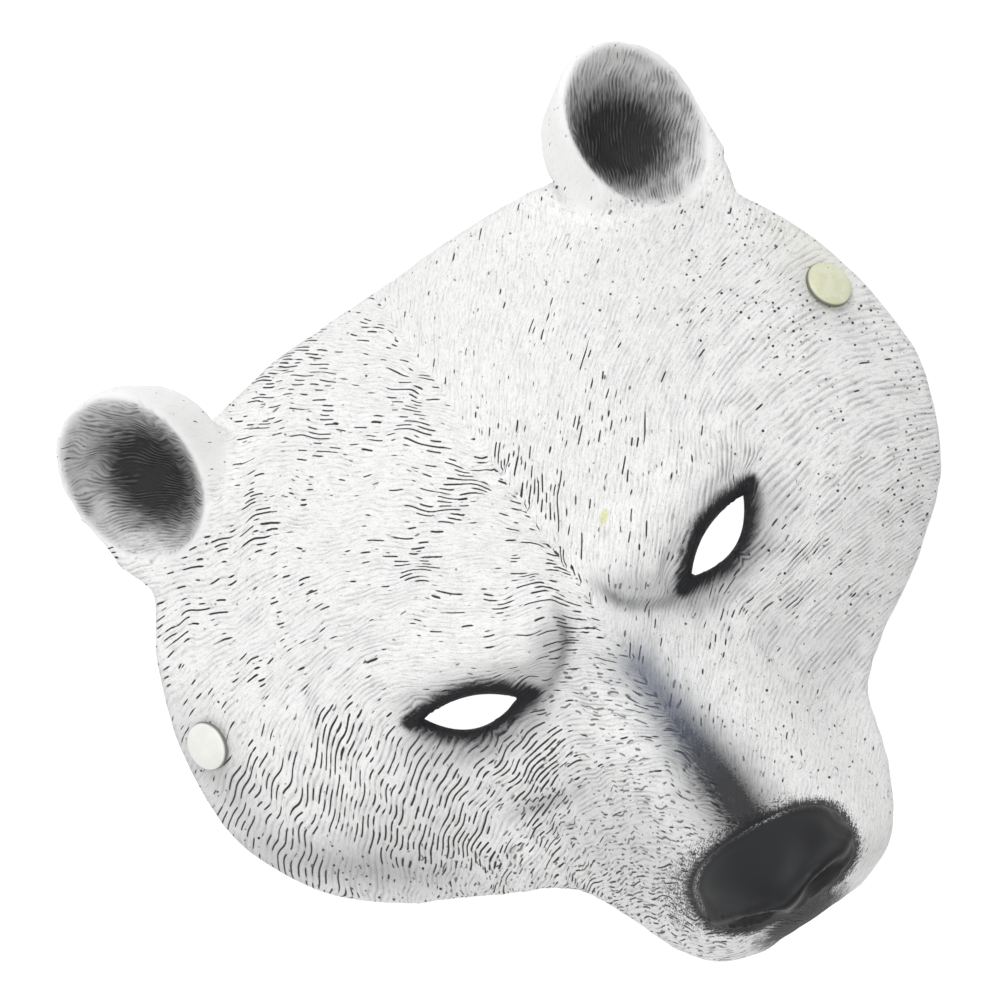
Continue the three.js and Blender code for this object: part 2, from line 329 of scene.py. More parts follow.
@dataclass(frozen=True)
class Ellipse:
    """A turned ellipse on the face, in millimetres and degrees."""

    x: float
    y: float
    along: float
    across: float
    turn: float = 0.0

    def local(self, x: Any, y: Any) -> tuple[Any, Any]:
        """Turns places into the ellipse's own axes.

        Args:
            x: Face x, as an array or a shader value.
            y: Face y, as an array or a shader value.

        Returns:
            Shares along and across the ellipse, 1 at its edge.
        """
        cos, sin = math.cos(math.radians(self.turn)), math.sin(math.radians(self.turn))
        dx, dy = x - self.x, y - self.y
        return (dx * cos + dy * sin) * (1 / self.along), (dy * cos - dx * sin) * (1 / self.across)

    def swell(self, x: Array, y: Array) -> Array:
        """A soft swelling over the ellipse, 1 in its middle and fading out past its edge."""
        u, v = self.local(x, y)
        return np.exp(-u * u - v * v)


EYE = Ellipse(37.5, 1.3, 12.2, 1.0, 22.0)
EYE_RISE, EYE_DROP = 3.2, 5.3
EYE_AREA, EYE_BLEND, EYE_BINS = 17.0, 2.6, 72
RIM_REACH, RIM_HOLD = 1.4, 0.97
NOSE = Ellipse(1.5, -72.0, 20.5, 11.4, -5.0)
PACKED_NOSE = Ellipse(1.7, -72.6, 20.9, 13.2)
NOSE_SQUARE = 2.6
EAR_SHIFT = 3.0
EAR = Ellipse(77.8, 97.6, 16.2, 22.0)
EAR_LEAN = {Side.LEFT: 38.0, Side.RIGHT: 54.0}
EAR_FAN, EAR_BOW = 0.012, 0.006
# Where the ear bowls are darkest: black paint, set off centre towards the head-side wall as painted shade.
EAR_SHADES = {
    Side.LEFT: Ellipse(74.0, 96.0, 16.5, 23.5),
    Side.RIGHT: Ellipse(72.8, 97.2, 22.5, 19.5, -35.0),
}
PEPPER_SIDE, PEPPER_HEIGHT = (24.0, -2.0), (-79.0, -67.0)
STRIPE_START, STRIPE_DARKER, STRIPE_STOP = (-4.0, -15.0), (-15.0, -52.0), (-83.0, -78.0)
LIP_SHADE = Ellipse(0.0, -86.4, 12.0, 4.6)
LIP_TAPER = (72.0, 96.0)
STAIN = Ellipse(17.0, 21.5, 2.2, 1.1, 40.0)
AGED_SIDE, AGED_MIDDLE, AGED_REACH = (88.0, 101.0), 48.0, (22.0, 8.0)
PALE_SPECK_SPOTS, PALE_SPECK_HEIGHT = ((-15.0, 5.0), (7.0, 7.0)), (-70.5, -66.0)


def eye_gap(x: Array, y: Array) -> Array:
    """How far points are above or below the nearer eye hole.

    Args:
        x: Face x of the points.
        y: Face y of the points.

    Returns:
        Millimetres, below zero in the hole.
    """
    u, v = EYE.local(np.abs(x), y)
    open_share = 1 - u * u
    middle = (EYE_RISE - EYE_DROP) / 2
    half = (EYE_RISE + EYE_DROP) / 2
    return np.abs(v - open_share * middle) - open_share * half


def nose_reach(x: Any, y: Any) -> Any:
    """How far out on the nose pad a point is: 0 in its middle and 1 at its edge."""
    u, v = NOSE.local(x, y)
    return abs(u) ** NOSE_SQUARE + abs(v) ** NOSE_SQUARE


@dataclass(frozen=True)
class HairPlace:
    """A place in the hair: along and across it, and the steps across that one millimetre takes."""

    along: Value
    across: Value
    spread: Value


@dataclass(frozen=True)
class HairLines:
    """Lines of moulded hair with dark strokes lying in them, in millimetres."""

    pitch: float
    length: float
    width: float
    soft: float

    def wave(self, hair: HairPlace) -> Value:
        """The swell between the lines: 0 on a line and 1 half way to the next."""
        return 0.5 - (hair.across * (math.tau / self.pitch)).cos() * 0.5

    def strokes(self, kit: NodeKit, hair: HairPlace, share: Value) -> Value:
        """Breaks the lines up into strokes.

        Args:
            kit: Tree to add to.
            hair: Place in the hair.
            share: How much of the lines is painted, 0 to 1.

        Returns:
            How dark the strokes are, 0 between them.
        """
        line = hair.across / self.pitch
        row = line.whole()
        run = kit.noise(hair.along / self.length, row * ROW_STEP, None, 0.0)
        half = ((run + share * PAINTED_SPAN - BARE_LEVEL) * STROKE_TAPER).at_most(self.width / 2)
        gap = abs(line - row) * self.pitch / hair.spread
        return (half - gap).step(-self.soft, self.soft) * half.step(0.0, THIN_STROKE)


ROW_STEP = 7.31
PAINTED_SPAN, BARE_LEVEL = 0.44, 0.82
STROKE_TAPER, THIN_STROKE = 2.4, 0.08
WIDE_HAIR = HairLines(1.3, 4.6, 0.38, 0.07)
CLOSE_HAIR = HairLines(0.92, 4.3, 0.46, 0.07)
CLOSE_SPREAD, WIDE_SPREAD = 0.8, 0.95
FINE_ALONG, FINE_ACROSS, GRAIN_CELLS, SWAY_CELLS = 0.32, 2.9, 1.9, 0.36
# Short, soft strokes: partly dark wash, partly painted shade under the muzzle's tufts.
STUBBLE = HairLines(1.0, 2.7, 0.44, 0.16)


@dataclass(frozen=True)
class PaintPlace:
    """What the paint reads at a point: its place, its hair, and noise in the hair and in the foam."""

    x: Value
    y: Value
    z: Value
    hair: HairPlace
    wide: Value
    wave: Value
    patch: Value
    fine: Value
    grain: Value

    @classmethod
    def read(cls, kit: NodeKit) -> "PaintPlace":
        """Reads the surface point in a material.

        Args:
            kit: Tree to add to.

        Returns:
            The place.
        """
        x, y, z = kit.place()
        s, t = kit.along_fur()
        hair = HairPlace(s, t + kit.attribute("wander"), kit.attribute("spread"))
        wide = hair.spread.step(CLOSE_SPREAD, WIDE_SPREAD)
        close = CLOSE_HAIR.wave(hair)
        wave = close + (WIDE_HAIR.wave(hair) - close) * wide
        fine = kit.noise(hair.along * FINE_ALONG, hair.across * FINE_ACROSS)
        grain = kit.noise(x * GRAIN_CELLS, y * GRAIN_CELLS, z * GRAIN_CELLS)
        return cls(x, y, z, hair, wide, wave, kit.attribute("patch"), fine, grain)


@dataclass(frozen=True)
class FoamPaint:
    """White paint on moulded foam, with dark strokes in the hair and airbrushed black.

    Depths are shares of grey in the hollows of the relief, partly dark wash and partly painted shade;
    heights and edges are in millimetres.
    """

    white: Colour = (0.85, 0.85, 0.845, 1)
    # Grey of the relief's hollows, partly dark wash and partly painted shade.
    hollow: Colour = (0.26, 0.26, 0.26, 1)
    stroke: Colour = (0.030, 0.028, 0.027, 1)
    black: Colour = (0.012, 0.0125, 0.015, 1)
    slate: Colour = (0.10, 0.115, 0.16, 1)
    nose: Colour = (0.012, 0.0125, 0.014, 1)
    bowl: Colour = (0.012, 0.012, 0.0125, 1)
    bowl_hair: Colour = (0.07, 0.07, 0.07, 1)
    raw_foam: Colour = (0.72, 0.69, 0.62, 1)
    shade: Colour = (0.09, 0.092, 0.10, 1)
    lichen: Colour = (0.62, 0.66, 0.16, 1)
    yellowed: Colour = (0.80, 0.78, 0.60, 1)

    line_depth: float = 0.55
    streak_depth: float = 0.3
    pebble_depth: float = 0.13
    line_height: float = 0.26
    streak_height: float = 0.2
    pebble_height: float = 0.07
    stubble_share: float = 0.75
    stubble_dark: float = 0.8
    stubble_sway: float = 1.1
    lash_outer: float = 5.5
    lash_inner: float = 1.7
    speck_pitch: float = 2.3
    pale_speck_share: float = 0.34

    def material(self) -> bpy.types.Material:
        """Builds the mask's one material.

        Returns:
            The material.
        """
        kit = NodeKit("painted_foam")
        at = PaintPlace.read(kit)
        relief, furry, inside = (kit.attribute(name) for name in ("relief", "furry", "inside"))
        line = (1 - at.wave) ** 3.0 * at.patch * relief
        streak, pebble = at.fine.step(0.5, 0.2), at.grain.step(0.5, 0.28)
        # Grey in the hollows of the moulded hair: partly dark wash, partly painted shade.
        hollow_wash_and_shade = line * self.line_depth + streak * self.streak_depth + pebble * self.pebble_depth
        # Painted shade of creases, dents, sockets and slopes turned from the light, with some grey
        # airbrush.
        shade_and_grey = kit.attribute("grime") * (at.fine * 0.9 + at.grain * 0.5 + 0.3)

        colour = kit.mix(hollow_wash_and_shade * furry, self.white, self.hollow)
        colour = kit.mix(self._strokes(kit, at), colour, self.stroke)
        colour = kit.mix(shade_and_grey, colour, self.shade)
        colour = self._airbrush(kit, colour, at)
        colour = self._blemishes(kit, colour, at)
        colour = self._ear_bowl(kit, colour, at)
        ragged = ((at.fine - 0.5) * 2.2 + (at.wave * at.patch - 0.3) * 1.2) * furry
        ragged = ragged + (at.grain - 0.5) * 1.2
        lash = (kit.attribute("lash") + ragged).step(self.lash_outer, self.lash_inner)
        colour = kit.mix(lash, colour, self.black)
        pad = nose_reach(at.x, at.y).step(1.05, 0.97)
        colour = self._nose_pad(kit, colour, at, pad)
        colour = kit.mix(inside, colour, kit.mix(at.grain, self.raw_foam, self.white))
        lid = kit.attribute("lid").step(inside * 4.0 + 1.9, inside * 3.0 + 1.0)
        colour = kit.mix(lid, colour, self.black)

        height = at.wave * at.patch * relief * self.line_height + at.fine * self.streak_height
        height = (height - pebble * self.pebble_height) * furry
        roughness = 0.72 - pad * 0.24 - lash * 0.08 + (at.grain - 0.5) * pad * 0.2
        return kit.finish(colour, roughness, height, {"Specular IOR Level": 0.28})

    def _strokes(self, kit: NodeKit, at: PaintPlace) -> Value:
        """Paints long strokes in the hair lines and short, loose ones over them; the short ones are soft
        and stand partly for painted shade of the muzzle's tufts.

        Args:
            kit: Tree to add to.
            at: The surface point.

        Returns:
            How dark the strokes are, 0 between them.
        """
        hair, wash = at.hair, kit.attribute("wash")
        strokes = WIDE_HAIR.strokes(kit, hair, wash * at.wide)
        strokes = strokes.at_least(CLOSE_HAIR.strokes(kit, hair, wash * (1 - at.wide)))
        sway = kit.noise(hair.along * SWAY_CELLS, hair.across * SWAY_CELLS, None, 0.0)
        loose = HairPlace(hair.along, hair.across + sway * self.stubble_sway, hair.spread)
        stubble = STUBBLE.strokes(kit, loose, kit.attribute("stubble") * self.stubble_share)
        return strokes.at_least(stubble * self.stubble_dark)

    def _airbrush(self, kit: NodeKit, colour: Value, at: PaintPlace) -> Value:
        """Sprays the dark stripe down the bridge and the soft dark edge round the nose, with black below
        it that is partly lip paint and partly painted shade.

        Args:
            kit: Tree to add to.
            colour: Paint so far.
            at: The surface point.

        Returns:
            The new paint.
        """
        x, y, fine, grain = at.x, at.y, at.fine, at.grain
        reach, darker = nose_reach(x, y), y.step(*STRIPE_DARKER)
        off = (x - MIDLINE - 0.5 + (fine - 0.5) * 4.0) / (darker * 2.5 + 5.8)
        stripe = (off * off * -1.0).exp() * (y.step(*STRIPE_START) * 0.74 + darker * 0.26)
        stripe = stripe * y.step(*STRIPE_STOP) * (fine * 0.5 + grain * 0.4 + 0.66)
        near = reach.step(2.8, 1.15) * x.step(*PEPPER_SIDE) * y.step(*PEPPER_HEIGHT)
        pepper = (grain + near * 0.17).step(0.6, 0.68) * near.step(0.0, 0.3)
        fringe = (reach + (fine - 0.5) * 0.45 + (grain - 0.5) * 0.5).step(1.42, 1.1)
        # Black under the nose: partly lip paint, partly painted shade of the underside.
        u, v = LIP_SHADE.local(x, y)
        u = u / (at.z.step(*LIP_TAPER) * 0.68 + 0.32)
        lip = u * u + v * v + (fine - 0.5) * 1.1 + (grain - 0.5) * 0.9
        fringe = fringe.at_least(lip.step(1.7, 0.4))
        colour = kit.mix(pepper * 0.8, colour, self.stroke)
        colour = kit.mix(stripe.at_most(0.97), colour, kit.mix(darker, self.slate, self.black))
        return kit.mix(fringe * 0.95, colour, self.black)

    def _blemishes(self, kit: NodeKit, colour: Value, at: PaintPlace) -> Value:
        """Adds black specks, a small green stain and a yellowed stretch of the edge.

        Args:
            kit: Tree to add to.
            colour: Paint so far.
            at: The surface point.

        Returns:
            The new paint.
        """
        x, y, pitch = at.x, at.y, self.speck_pitch
        place, chance = kit.cells(x / pitch, y / pitch)
        px, py, _ = kit.parts(place)
        first, second, _ = kit.parts(chance)
        dx, dy = x - px * pitch, y - py * pitch
        size = second * 0.2 + 0.21
        speck = (size - (dx * dx + dy * dy).root()).step(-0.05, 0.15)
        speck = speck * (kit.attribute("speckle") - first).step(-0.02, 0.02)
        colour = kit.mix(speck * (second * 0.4 + 0.6), colour, self.black)
        u, v = STAIN.local(x, y)
        stain = (u * u + v * v).step(1.4, 0.2) * at.grain.step(0.3, 0.6)
        colour = kit.mix(stain * 0.85, colour, self.lichen)
        aged = x.step(*AGED_SIDE) * abs(y - AGED_MIDDLE).step(*AGED_REACH)
        return kit.mix(aged * at.grain.step(0.35, 0.65) * 0.35, colour, self.yellowed)

    def _ear_bowl(self, kit: NodeKit, colour: Value, at: PaintPlace) -> Value:
        """Darkens the ear bowls, with paler strands of hair standing out; the dark is black paint with
        painted shade towards the head-side wall.

        Args:
            kit: Tree to add to.
            colour: Paint so far.
            at: The surface point.

        Returns:
            The new paint.
        """
        bowl = kit.attribute("bowl")
        cup = (bowl + (0.5 - at.fine) * 0.35 * bowl.step(0.0, 0.15)).step(0.0, 0.62)
        strand = (at.wave * at.patch + at.fine).step(0.8, 1.3)
        return kit.mix(cup * 0.97, colour, kit.mix(strand, self.bowl, self.bowl_hair))

    def _nose_pad(self, kit: NodeKit, colour: Value, at: PaintPlace, pad: Value) -> Value:
        """Blackens the nose pad and scatters pale specks along two stretches of its upper edge.

        Args:
            kit: Tree to add to.
            colour: Paint so far.
            at: The surface point.
            pad: Share of the nose pad there.

        Returns:
            The new paint.
        """
        x, y = at.x, at.y
        colour = kit.mix(pad, colour, self.nose)
        # Pale specks along two stretches of the pad's upper edge.
        left, right = ((x - middle) / width for middle, width in PALE_SPECK_SPOTS)
        pale_specks = (left * left * -1.0).exp() + (right * right * -1.0).exp()
        pale_specks = pale_specks * nose_reach(x, y).step(0.8, 0.95) * pad * (y - x * 0.2).step(*PALE_SPECK_HEIGHT)
        return kit.mix(pale_specks * at.grain.step(0.5, 0.62) * self.pale_speck_share, colour, self.white)


@dataclass(frozen=True)
class SnapPlastic:
    """Smooth plastic of the snap caps and rings, a little yellowed and scuffed, with a painted shadow
    round each cap's base.
    """

    name: str
    body: Colour
    edge: Colour
    specks: float
    grit: Colour = (0.05, 0.05, 0.04, 1)
    # Colour of the painted shadow round the cap's base.
    outline: Colour = (0.05, 0.05, 0.045, 1)

    def material(self) -> bpy.types.Material:
        """Builds the plastic.

        Returns:
            The material.
        """
        kit = NodeKit(self.name)
        x, y, z = kit.place()
        cloud = kit.noise(x * 0.35, y * 0.35, z * 0.35, 3.0)
        grit = kit.noise(x * 2.2, y * 2.2, z * 2.2, 1.0)
        colour = kit.mix(cloud.step(0.35, 0.7), self.body, self.edge)
        colour = kit.mix(grit.step(0.72, 0.78) * self.specks, colour, self.grit)
        # Painted shadow round the cap's base.
        colour = kit.mix(kit.attribute("foot") * 0.85, colour, self.outline)
        roughness = 0.34 + cloud * 0.16
        height = cloud * 0.12 + grit * 0.015
        return kit.finish(colour, roughness, height, {"Specular IOR Level": 0.5})


@dataclass(frozen=True)
class FloorPaper:
    """Matte white paper under the mask, on a light table."""

    white: Colour = (0.33, 0.33, 0.33, 1)
    shade: Colour = (0.30, 0.30, 0.30, 1)
    glow: float = 0.80

    def material(self) -> bpy.types.Material:
        """Builds the paper, lit from below.

        Returns:
            The material.
        """
        kit = NodeKit("floor_paper")
        x, y, _ = kit.place()
        fibre = kit.noise(x * 0.02, y * 0.02)
        lit = {"Emission Color": (1, 1, 1, 1), "Emission Strength": self.glow}
        return kit.finish(kit.mix(fibre, self.white, self.shade), 0.9, None, lit)


@dataclass(frozen=True)
class FlowMark:
    """The way the hair lies at one place, x from the midline, in degrees from straight outwards."""

    x: float
    y: float
    angle: float


MIDLINE_MARKS = [(1, 10, 75), (2, 30, 65), (2, 60, 60), (2, 90, 65), (2, -15, 80), (2, -40, 82)]
FLOW_MARKS = {
    side: [FlowMark(*row) for row in MIDLINE_MARKS + rows]
    for side, rows in {
        Side.RIGHT: [
            (14, 90, 35), (30, 84, 58), (50, 88, 45), (14, 66, 60), (30, 66, 40), (48, 66, 36),
            (68, 64, 26), (88, 62, 45), (14, 46, 47), (30, 46, 40), (46, 50, 24), (46, 36, 58),
            (60, 50, 25), (60, 36, 48), (76, 48, 5), (72, 36, 26), (84, 50, 18), (94, 40, -5),
            (14, 26, 44), (28, 24, 54), (40, 24, 75), (50, 20, 88), (62, 22, 2), (78, 20, -8),
            (95, 18, -25), (14, 10, 50), (24, 10, 72), (60, 6, -15), (76, 4, -17), (94, 2, -32),
            (13, -8, 50), (24, -11, 18), (36, -13, -28), (50, -12, -2), (66, -14, -4), (84, -14, -20),
            (12, -26, 38), (26, -26, 28), (40, -26, 0), (58, -26, -1), (74, -26, -2), (12, -44, 40),
            (26, -44, 28), (40, -42, 10), (54, -40, -4), (18, -60, 38), (32, -60, 28), (30, -76, 35),
            (20, -88, 20),
        ],
        Side.LEFT: [
            (14, 90, 40), (28, 86, 34), (42, 84, 30), (58, 82, 35), (14, 70, 38), (26, 70, 34),
            (38, 70, 70), (48, 66, 60), (64, 70, 0), (80, 62, 34), (14, 52, 50), (28, 52, 66),
            (38, 56, 40), (48, 48, 2), (62, 48, 2), (80, 48, 4), (96, 42, -10), (14, 34, 44),
            (28, 32, 22), (44, 34, 2), (60, 34, 16), (78, 32, -8), (94, 26, -22), (14, 18, 15),
            (28, 18, 42), (38, 20, 60), (50, 22, 65), (60, 16, -28), (74, 12, -52), (92, 8, -34),
            (14, 2, 32), (60, 0, -34), (76, -2, -56), (92, -8, -44), (13, -14, 30), (24, -13, -20),
            (36, -14, -52), (50, -14, -30), (66, -18, -46), (80, -20, -62), (13, -30, 8), (26, -28, -10),
            (40, -28, -50), (56, -32, -58), (14, -48, 35), (28, -46, 15), (42, -46, -12), (20, -62, 35),
            (32, -62, 20), (30, -76, 30), (20, -88, 20),
        ],
    }.items()
}


@dataclass(frozen=True)
class PaintSpot:
    """How the paint and relief look at one place of the face.

    wash and stubble are the shares of long strokes and of short ones that are there, speckle that of
    black dots, and relief the strength of the moulded hair.
    """

    x: float
    y: float
    wash: float
    stubble: float
    speckle: float
    relief: float


PAINT_SPOTS = [
    PaintSpot(*row)
    for row in [
        (-10, 92, 0.5, 0, 0.2, 0.4), (-28, 90, 0.6, 0, 0.2, 0.4), (-45, 86, 0.64, 0, 0.2, 0.5),
        (-62, 72, 0.66, 0, 0.2, 0.6), (-15, 76, 0.5, 0, 0.1, 0.4), (-32, 70, 0.42, 0, 0.1, 0.4),
        (-80, 62, 0.6, 0, 0.2, 0.6), (-95, 40, 0.3, 0, 0.4, 0.5), (-50, 55, 0.3, 0, 0.1, 0.5),
        (-32, 52, 0.2, 0, 0.1, 0.4), (-70, 46, 0.4, 0, 0.1, 0.6), (-15, 42, 0.62, 0, 0.1, 0.4),
        (-6, 30, 0.6, 0, 0.1, 0.4), (-25, 32, 0.45, 0, 0.1, 0.5), (-48, 34, 0.12, 0, 0.1, 0.7),
        (-28, 16, 0.25, 0, 0, 0.5), (-60, 28, 0.06, 0, 0, 0.9), (-10, 14, 0.5, 0, 0, 0.5),
        (-82, 32, 0.45, 0, 0.3, 0.6), (-50, 14, 0.1, 0, 0, 0.8), (-66, 14, 1, 0, 0.1, 1),
        (-85, 8, 1, 0, 0.3, 1), (-98, 8, 0.8, 0, 0.7, 0.6), (-75, -8, 1, 0, 0.2, 1),
        (-88, -12, 0.6, 0.3, 0.7, 0.8), (-55, -16, 0.95, 0, 0.1, 1), (-45, -14, 0.9, 0.1, 0.1, 0.9),
        (-30, -14, 0.7, 0.3, 0.1, 0.8), (-60, -32, 0.6, 0.75, 0.6, 0.9), (-40, -32, 0.65, 0.65, 0.1, 0.9),
        (-30, -45, 0.5, 0.7, 0.1, 0.9), (-25, -60, 0.3, 0.9, 0.1, 0.9), (-32, -70, 0.5, 0.7, 0.1, 0.9),
        (-20, -86, 0.3, 0.8, 0.1, 0.9), (-15, -40, 0.1, 0.8, 0.1, 1.1), (-14, -20, 0.1, 0.7, 0.1, 1.1),
        (3, -5, 0.25, 0.2, 0.3, 0.5), (3, -30, 0.5, 0.2, 0.1, 0.5), (11, -28, 0.35, 0.05, 0.1, 0.6),
        (12, -50, 0.1, 0.25, 0.1, 0.5), (24, -36, 0.04, 0, 0.2, 0.5), (30, -60, 0.02, 0.02, 0.2, 0.35),
        (34, -75, 0.02, 0.02, 0.2, 0.3), (20, -55, 0.05, 0.1, 0.2, 0.4), (14, -16, 0.25, 0.05, 0.2, 0.6),
        (46, -13, 0.22, 0.05, 0.3, 1.2), (33, -15, 0.4, 0.1, 0.2, 1.2),
        (70, -10, 0.03, 0, 0.55, 1.0), (88, 5, 0.05, 0, 0.8, 1),
        (60, -30, 0.03, 0.05, 0.55, 1.1), (45, -42, 0.03, 0.02, 0.35, 0.9), (33, 16, 0.05, 0, 0.1, 0.9),
        (57, 12, 0.05, 0, 0.3, 1), (13, 36, 0.6, 0, 0.1, 0.4), (12, 56, 0.25, 0, 0.1, 0.4),
        (22, 46, 0.4, 0, 0.1, 0.4), (30, 62, 0.16, 0, 0.1, 0.4), (20, 78, 0.03, 0, 0.1, 0.4),
        (26, 26, 0.35, 0, 0.1, 0.4), (45, 42, 0.03, 0, 0.15, 0.6), (60, 30, 0.06, 0, 0.2, 0.9),
        (75, 42, 0.1, 0, 0.9, 0.8), (92, 25, 0.05, 0, 0.95, 0.8), (60, 70, 0.04, 0, 0.3, 0.4),
        (40, 85, 0.04, 0, 0.3, 0.4), (84, 52, 0.1, 0, 0.9, 0.6), (5, 95, 0.2, 0, 0.2, 0.4),
        (-60, 97, 0.02, 0, 0.6, 0.1), (64, 97, 0.02, 0, 0.6, 0.1), (-74, 118, 0.02, 0, 0.4, 0.2),
        (80, 118, 0.02, 0, 0.4, 0.2),
    ]
]


@dataclass(frozen=True)
class FacePatch:
    """A soft patch: a swelling in millimetres, a crease where it is below zero, or a share of grey for
    painted shade and airbrush.
    """

    shape: Ellipse
    amount: float
    both_sides: bool = False

    def at(self, x: Array, y: Array) -> Array:
        """The patch's amount at points of the face."""
        return self.amount * self.shape.swell(np.abs(x) if self.both_sides else x, y)


FOLDS = {
    "brow_overhang": FacePatch(Ellipse(34, 9, 16, 2.4, 20), 1.0, True),
    "under_eye_bag": FacePatch(Ellipse(38, -10, 13, 2.6, 14), 0.8, True),
    "left_muzzle_crease": FacePatch(Ellipse(-37, -29, 9, 1.8, -13), -1.3),
    "left_muzzle_roll": FacePatch(Ellipse(-36, -34, 10, 3, -13), 1.0),
    "right_cheek_fold": FacePatch(Ellipse(34, -29, 10, 3.2, 78), -1.5),
    "right_lip_dent": FacePatch(Ellipse(37, -44, 8, 4, 60), -1.4),
    "left_crown_dent": FacePatch(Ellipse(-52, 58, 9, 5, 40), -1.2),
    "right_crown_dent": FacePatch(Ellipse(32, 78, 14, 5, 30), -1.2),
    "right_crown_roll": FacePatch(Ellipse(40, 69, 14, 4, 30), 1.0),
}
# Painted shade in creases, dents and sockets and on slopes turned from the light, with some grey airbrush,
# as shares of grey.
SHADES = {
    "inner_eye": FacePatch(Ellipse(23, -7, 7, 4, -30), 0.35, True),
    "outer_eye": FacePatch(Ellipse(52, 1, 8, 6, 0), 0.28, True),
    "under_eye": FacePatch(Ellipse(40, -9, 14, 4, 14), 0.38, True),
    "brow_knob": FacePatch(Ellipse(13, 3, 7, 4, -40), 0.22, True),
    "left_muzzle_crease": FacePatch(Ellipse(-37, -29, 10, 2, -13), 0.35),
    "left_muzzle": FacePatch(Ellipse(-24, -52, 16, 30, 20), 0.23),
    "left_cheek_edge": FacePatch(Ellipse(-84, -16, 26, 6, -42), 0.42),
    "left_cheek": FacePatch(Ellipse(-66, -14, 20, 14, -30), 0.10),
    "left_temple_edge": FacePatch(Ellipse(-101, 22, 7, 24, 0), 0.30),
    "right_cheek_fold": FacePatch(Ellipse(35, -27, 9, 4, 78), 0.16),
    "right_lip_dent": FacePatch(Ellipse(44, -40, 12, 7, 50), 0.20),
    "right_temple": FacePatch(Ellipse(96, 34, 7, 20, 0), 0.14),
    "bridge_top": FacePatch(Ellipse(2, -8, 9, 6, 0), 0.22),
    "muzzle_right": FacePatch(Ellipse(30, -62, 10, 20, 0), 0.07),
}

BROW_CREASE = [(5.5, 13.0), (6.6, 7.0), (8.2, 2.4), (12.5, -2.0), (18.0, -4.9), (22.5, -5.4)]
NOSE_RIDGE = [
    (-21.0, -71.0), (-17.9, -73.4), (-13.5, -75.8), (-8.7, -78.0), (-2.0, -80.2), (3.5, -79.5),
    (8.7, -78.1), (17.3, -77.5), (24.0, -74.0),
]
NOSTRILS = (Ellipse(-9.8, -79.6, 6.8, 2.0, -22), Ellipse(10.2, -81.0, 6.6, 2.2, 6))


@dataclass(frozen=True)
class PathHit:
    """The nearest places on a path, their distances and their shares of the way along it."""

    x: Array
    y: Array
    gap: Array
    share: Array


def nearest_on(path: list[tuple[float, float]], x: Array, y: Array) -> PathHit:
    """Finds the nearest place on a path for each of many points.

    Args:
        path: Corners of the path on the face.
        x: Face x of the points.
        y: Face y of the points.

    Returns:
        The nearest places.
    """
    hit_x, hit_y = x, y
    gap, share = np.full(len(x), np.inf), np.zeros(len(x))
    steps = len(path) - 1
    for i, ((ax, ay), (bx, by)) in enumerate(zip(path, path[1:])):
        length = math.hypot(bx - ax, by - ay)
        ux, uy = (bx - ax) / length, (by - ay) / length
        run = np.clip((x - ax) * ux + (y - ay) * uy, 0, length)
        on_x, on_y = ax + run * ux, ay + run * uy
        distance = np.hypot(x - on_x, y - on_y)
        closer = distance < gap
        hit_x, hit_y = np.where(closer, on_x, hit_x), np.where(closer, on_y, hit_y)
        share = np.where(closer, (i + run / length) / steps, share)
        gap = np.minimum(gap, distance)
    return PathHit(hit_x, hit_y, gap, share)


def crease_gap(x: Array, y: Array) -> tuple[Array, Array]:
    """How far points are from the crease under the nearer brow knob.

    Args:
        x: Face x of the points.
        y: Face y of the points.

    Returns:
        Millimetres, above zero on the knob, and the share of the way along the crease.
    """
    hit = nearest_on(BROW_CREASE, np.abs(x), y)
    path = np.array(BROW_CREASE)
    on_knob = (np.abs(x) > path[0, 0]) & (y > np.interp(np.abs(x), path[:, 0], path[:, 1]))
    return np.where(on_knob, hit.gap, -hit.gap), hit.share


def almond() -> list[tuple[float, float]]:
    """Draws the outline of the right eye hole, from its outer corner over the top.

    Returns:
        Its corners, the first one again at the end.
    """
    steps = 24
    turn = math.radians(EYE.turn)
    rim = []
    for sag, order in ((EYE_RISE, 1), (-EYE_DROP, -1)):
        for i in range(steps):
            u = order * (1 - 2 * i / steps)
            a, b = u * EYE.along, sag * (1 - u * u)
            rim.append((
                EYE.x + a * math.cos(turn) - b * math.sin(turn),
                EYE.y + a * math.sin(turn) + b * math.cos(turn),
            ))
    return rim + rim[:1]


def face_xy(points: Array) -> tuple[Array, Array]:
    """Face x and y in millimetres of points given in metres."""
    return points[:, 0] / MM, points[:, 1] / MM - EYE_LINE


def blend_marks(x: Array, y: Array, marks: list[Any], rows: Array) -> Array:
    """Smoothly carries values from marked places over the face.

    Args:
        x: Face x of the points.
        y: Face y of the points.
        marks: Places with x and y.
        rows: One row of values for each mark.

    Returns:
        One row of values for each point.
    """
    softness = 36.0
    places = np.array([(mark.x, mark.y) for mark in marks], float)
    apart = (x[:, None] - places[:, 0]) ** 2 + (y[:, None] - places[:, 1]) ** 2
    weight = 1 / (apart + softness) ** 2
    return (weight @ rows) / weight.sum(1)[:, None]


def put_in_place(
    mesh: bpy.types.Mesh, finish: FoamPaint | SnapPlastic, node: str
) -> bpy.types.Object:
    """Makes a finished piece of a mesh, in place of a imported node.

    Args:
        mesh: Mesh in the part's frame, with the piece's name.
        finish: Paint or plastic on it.
        node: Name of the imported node.

    Returns:
        The finished piece.
    """
    mesh.shade_smooth()
    mesh.materials.append(finish.material())
    piece = bpy.data.objects.new(mesh.name, mesh)
    bpy.context.scene.collection.objects.link(piece)
    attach(piece, "root")
    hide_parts(node)
    LOG.info("%s: %d faces", piece.name, len(mesh.polygons))
    return piece


@dataclass(frozen=True)
class HairFrames:
    """Area of each face, and its slopes in space, along the hair and across it."""

    area: Array
    slope: Array
    along: Array
    across: Array


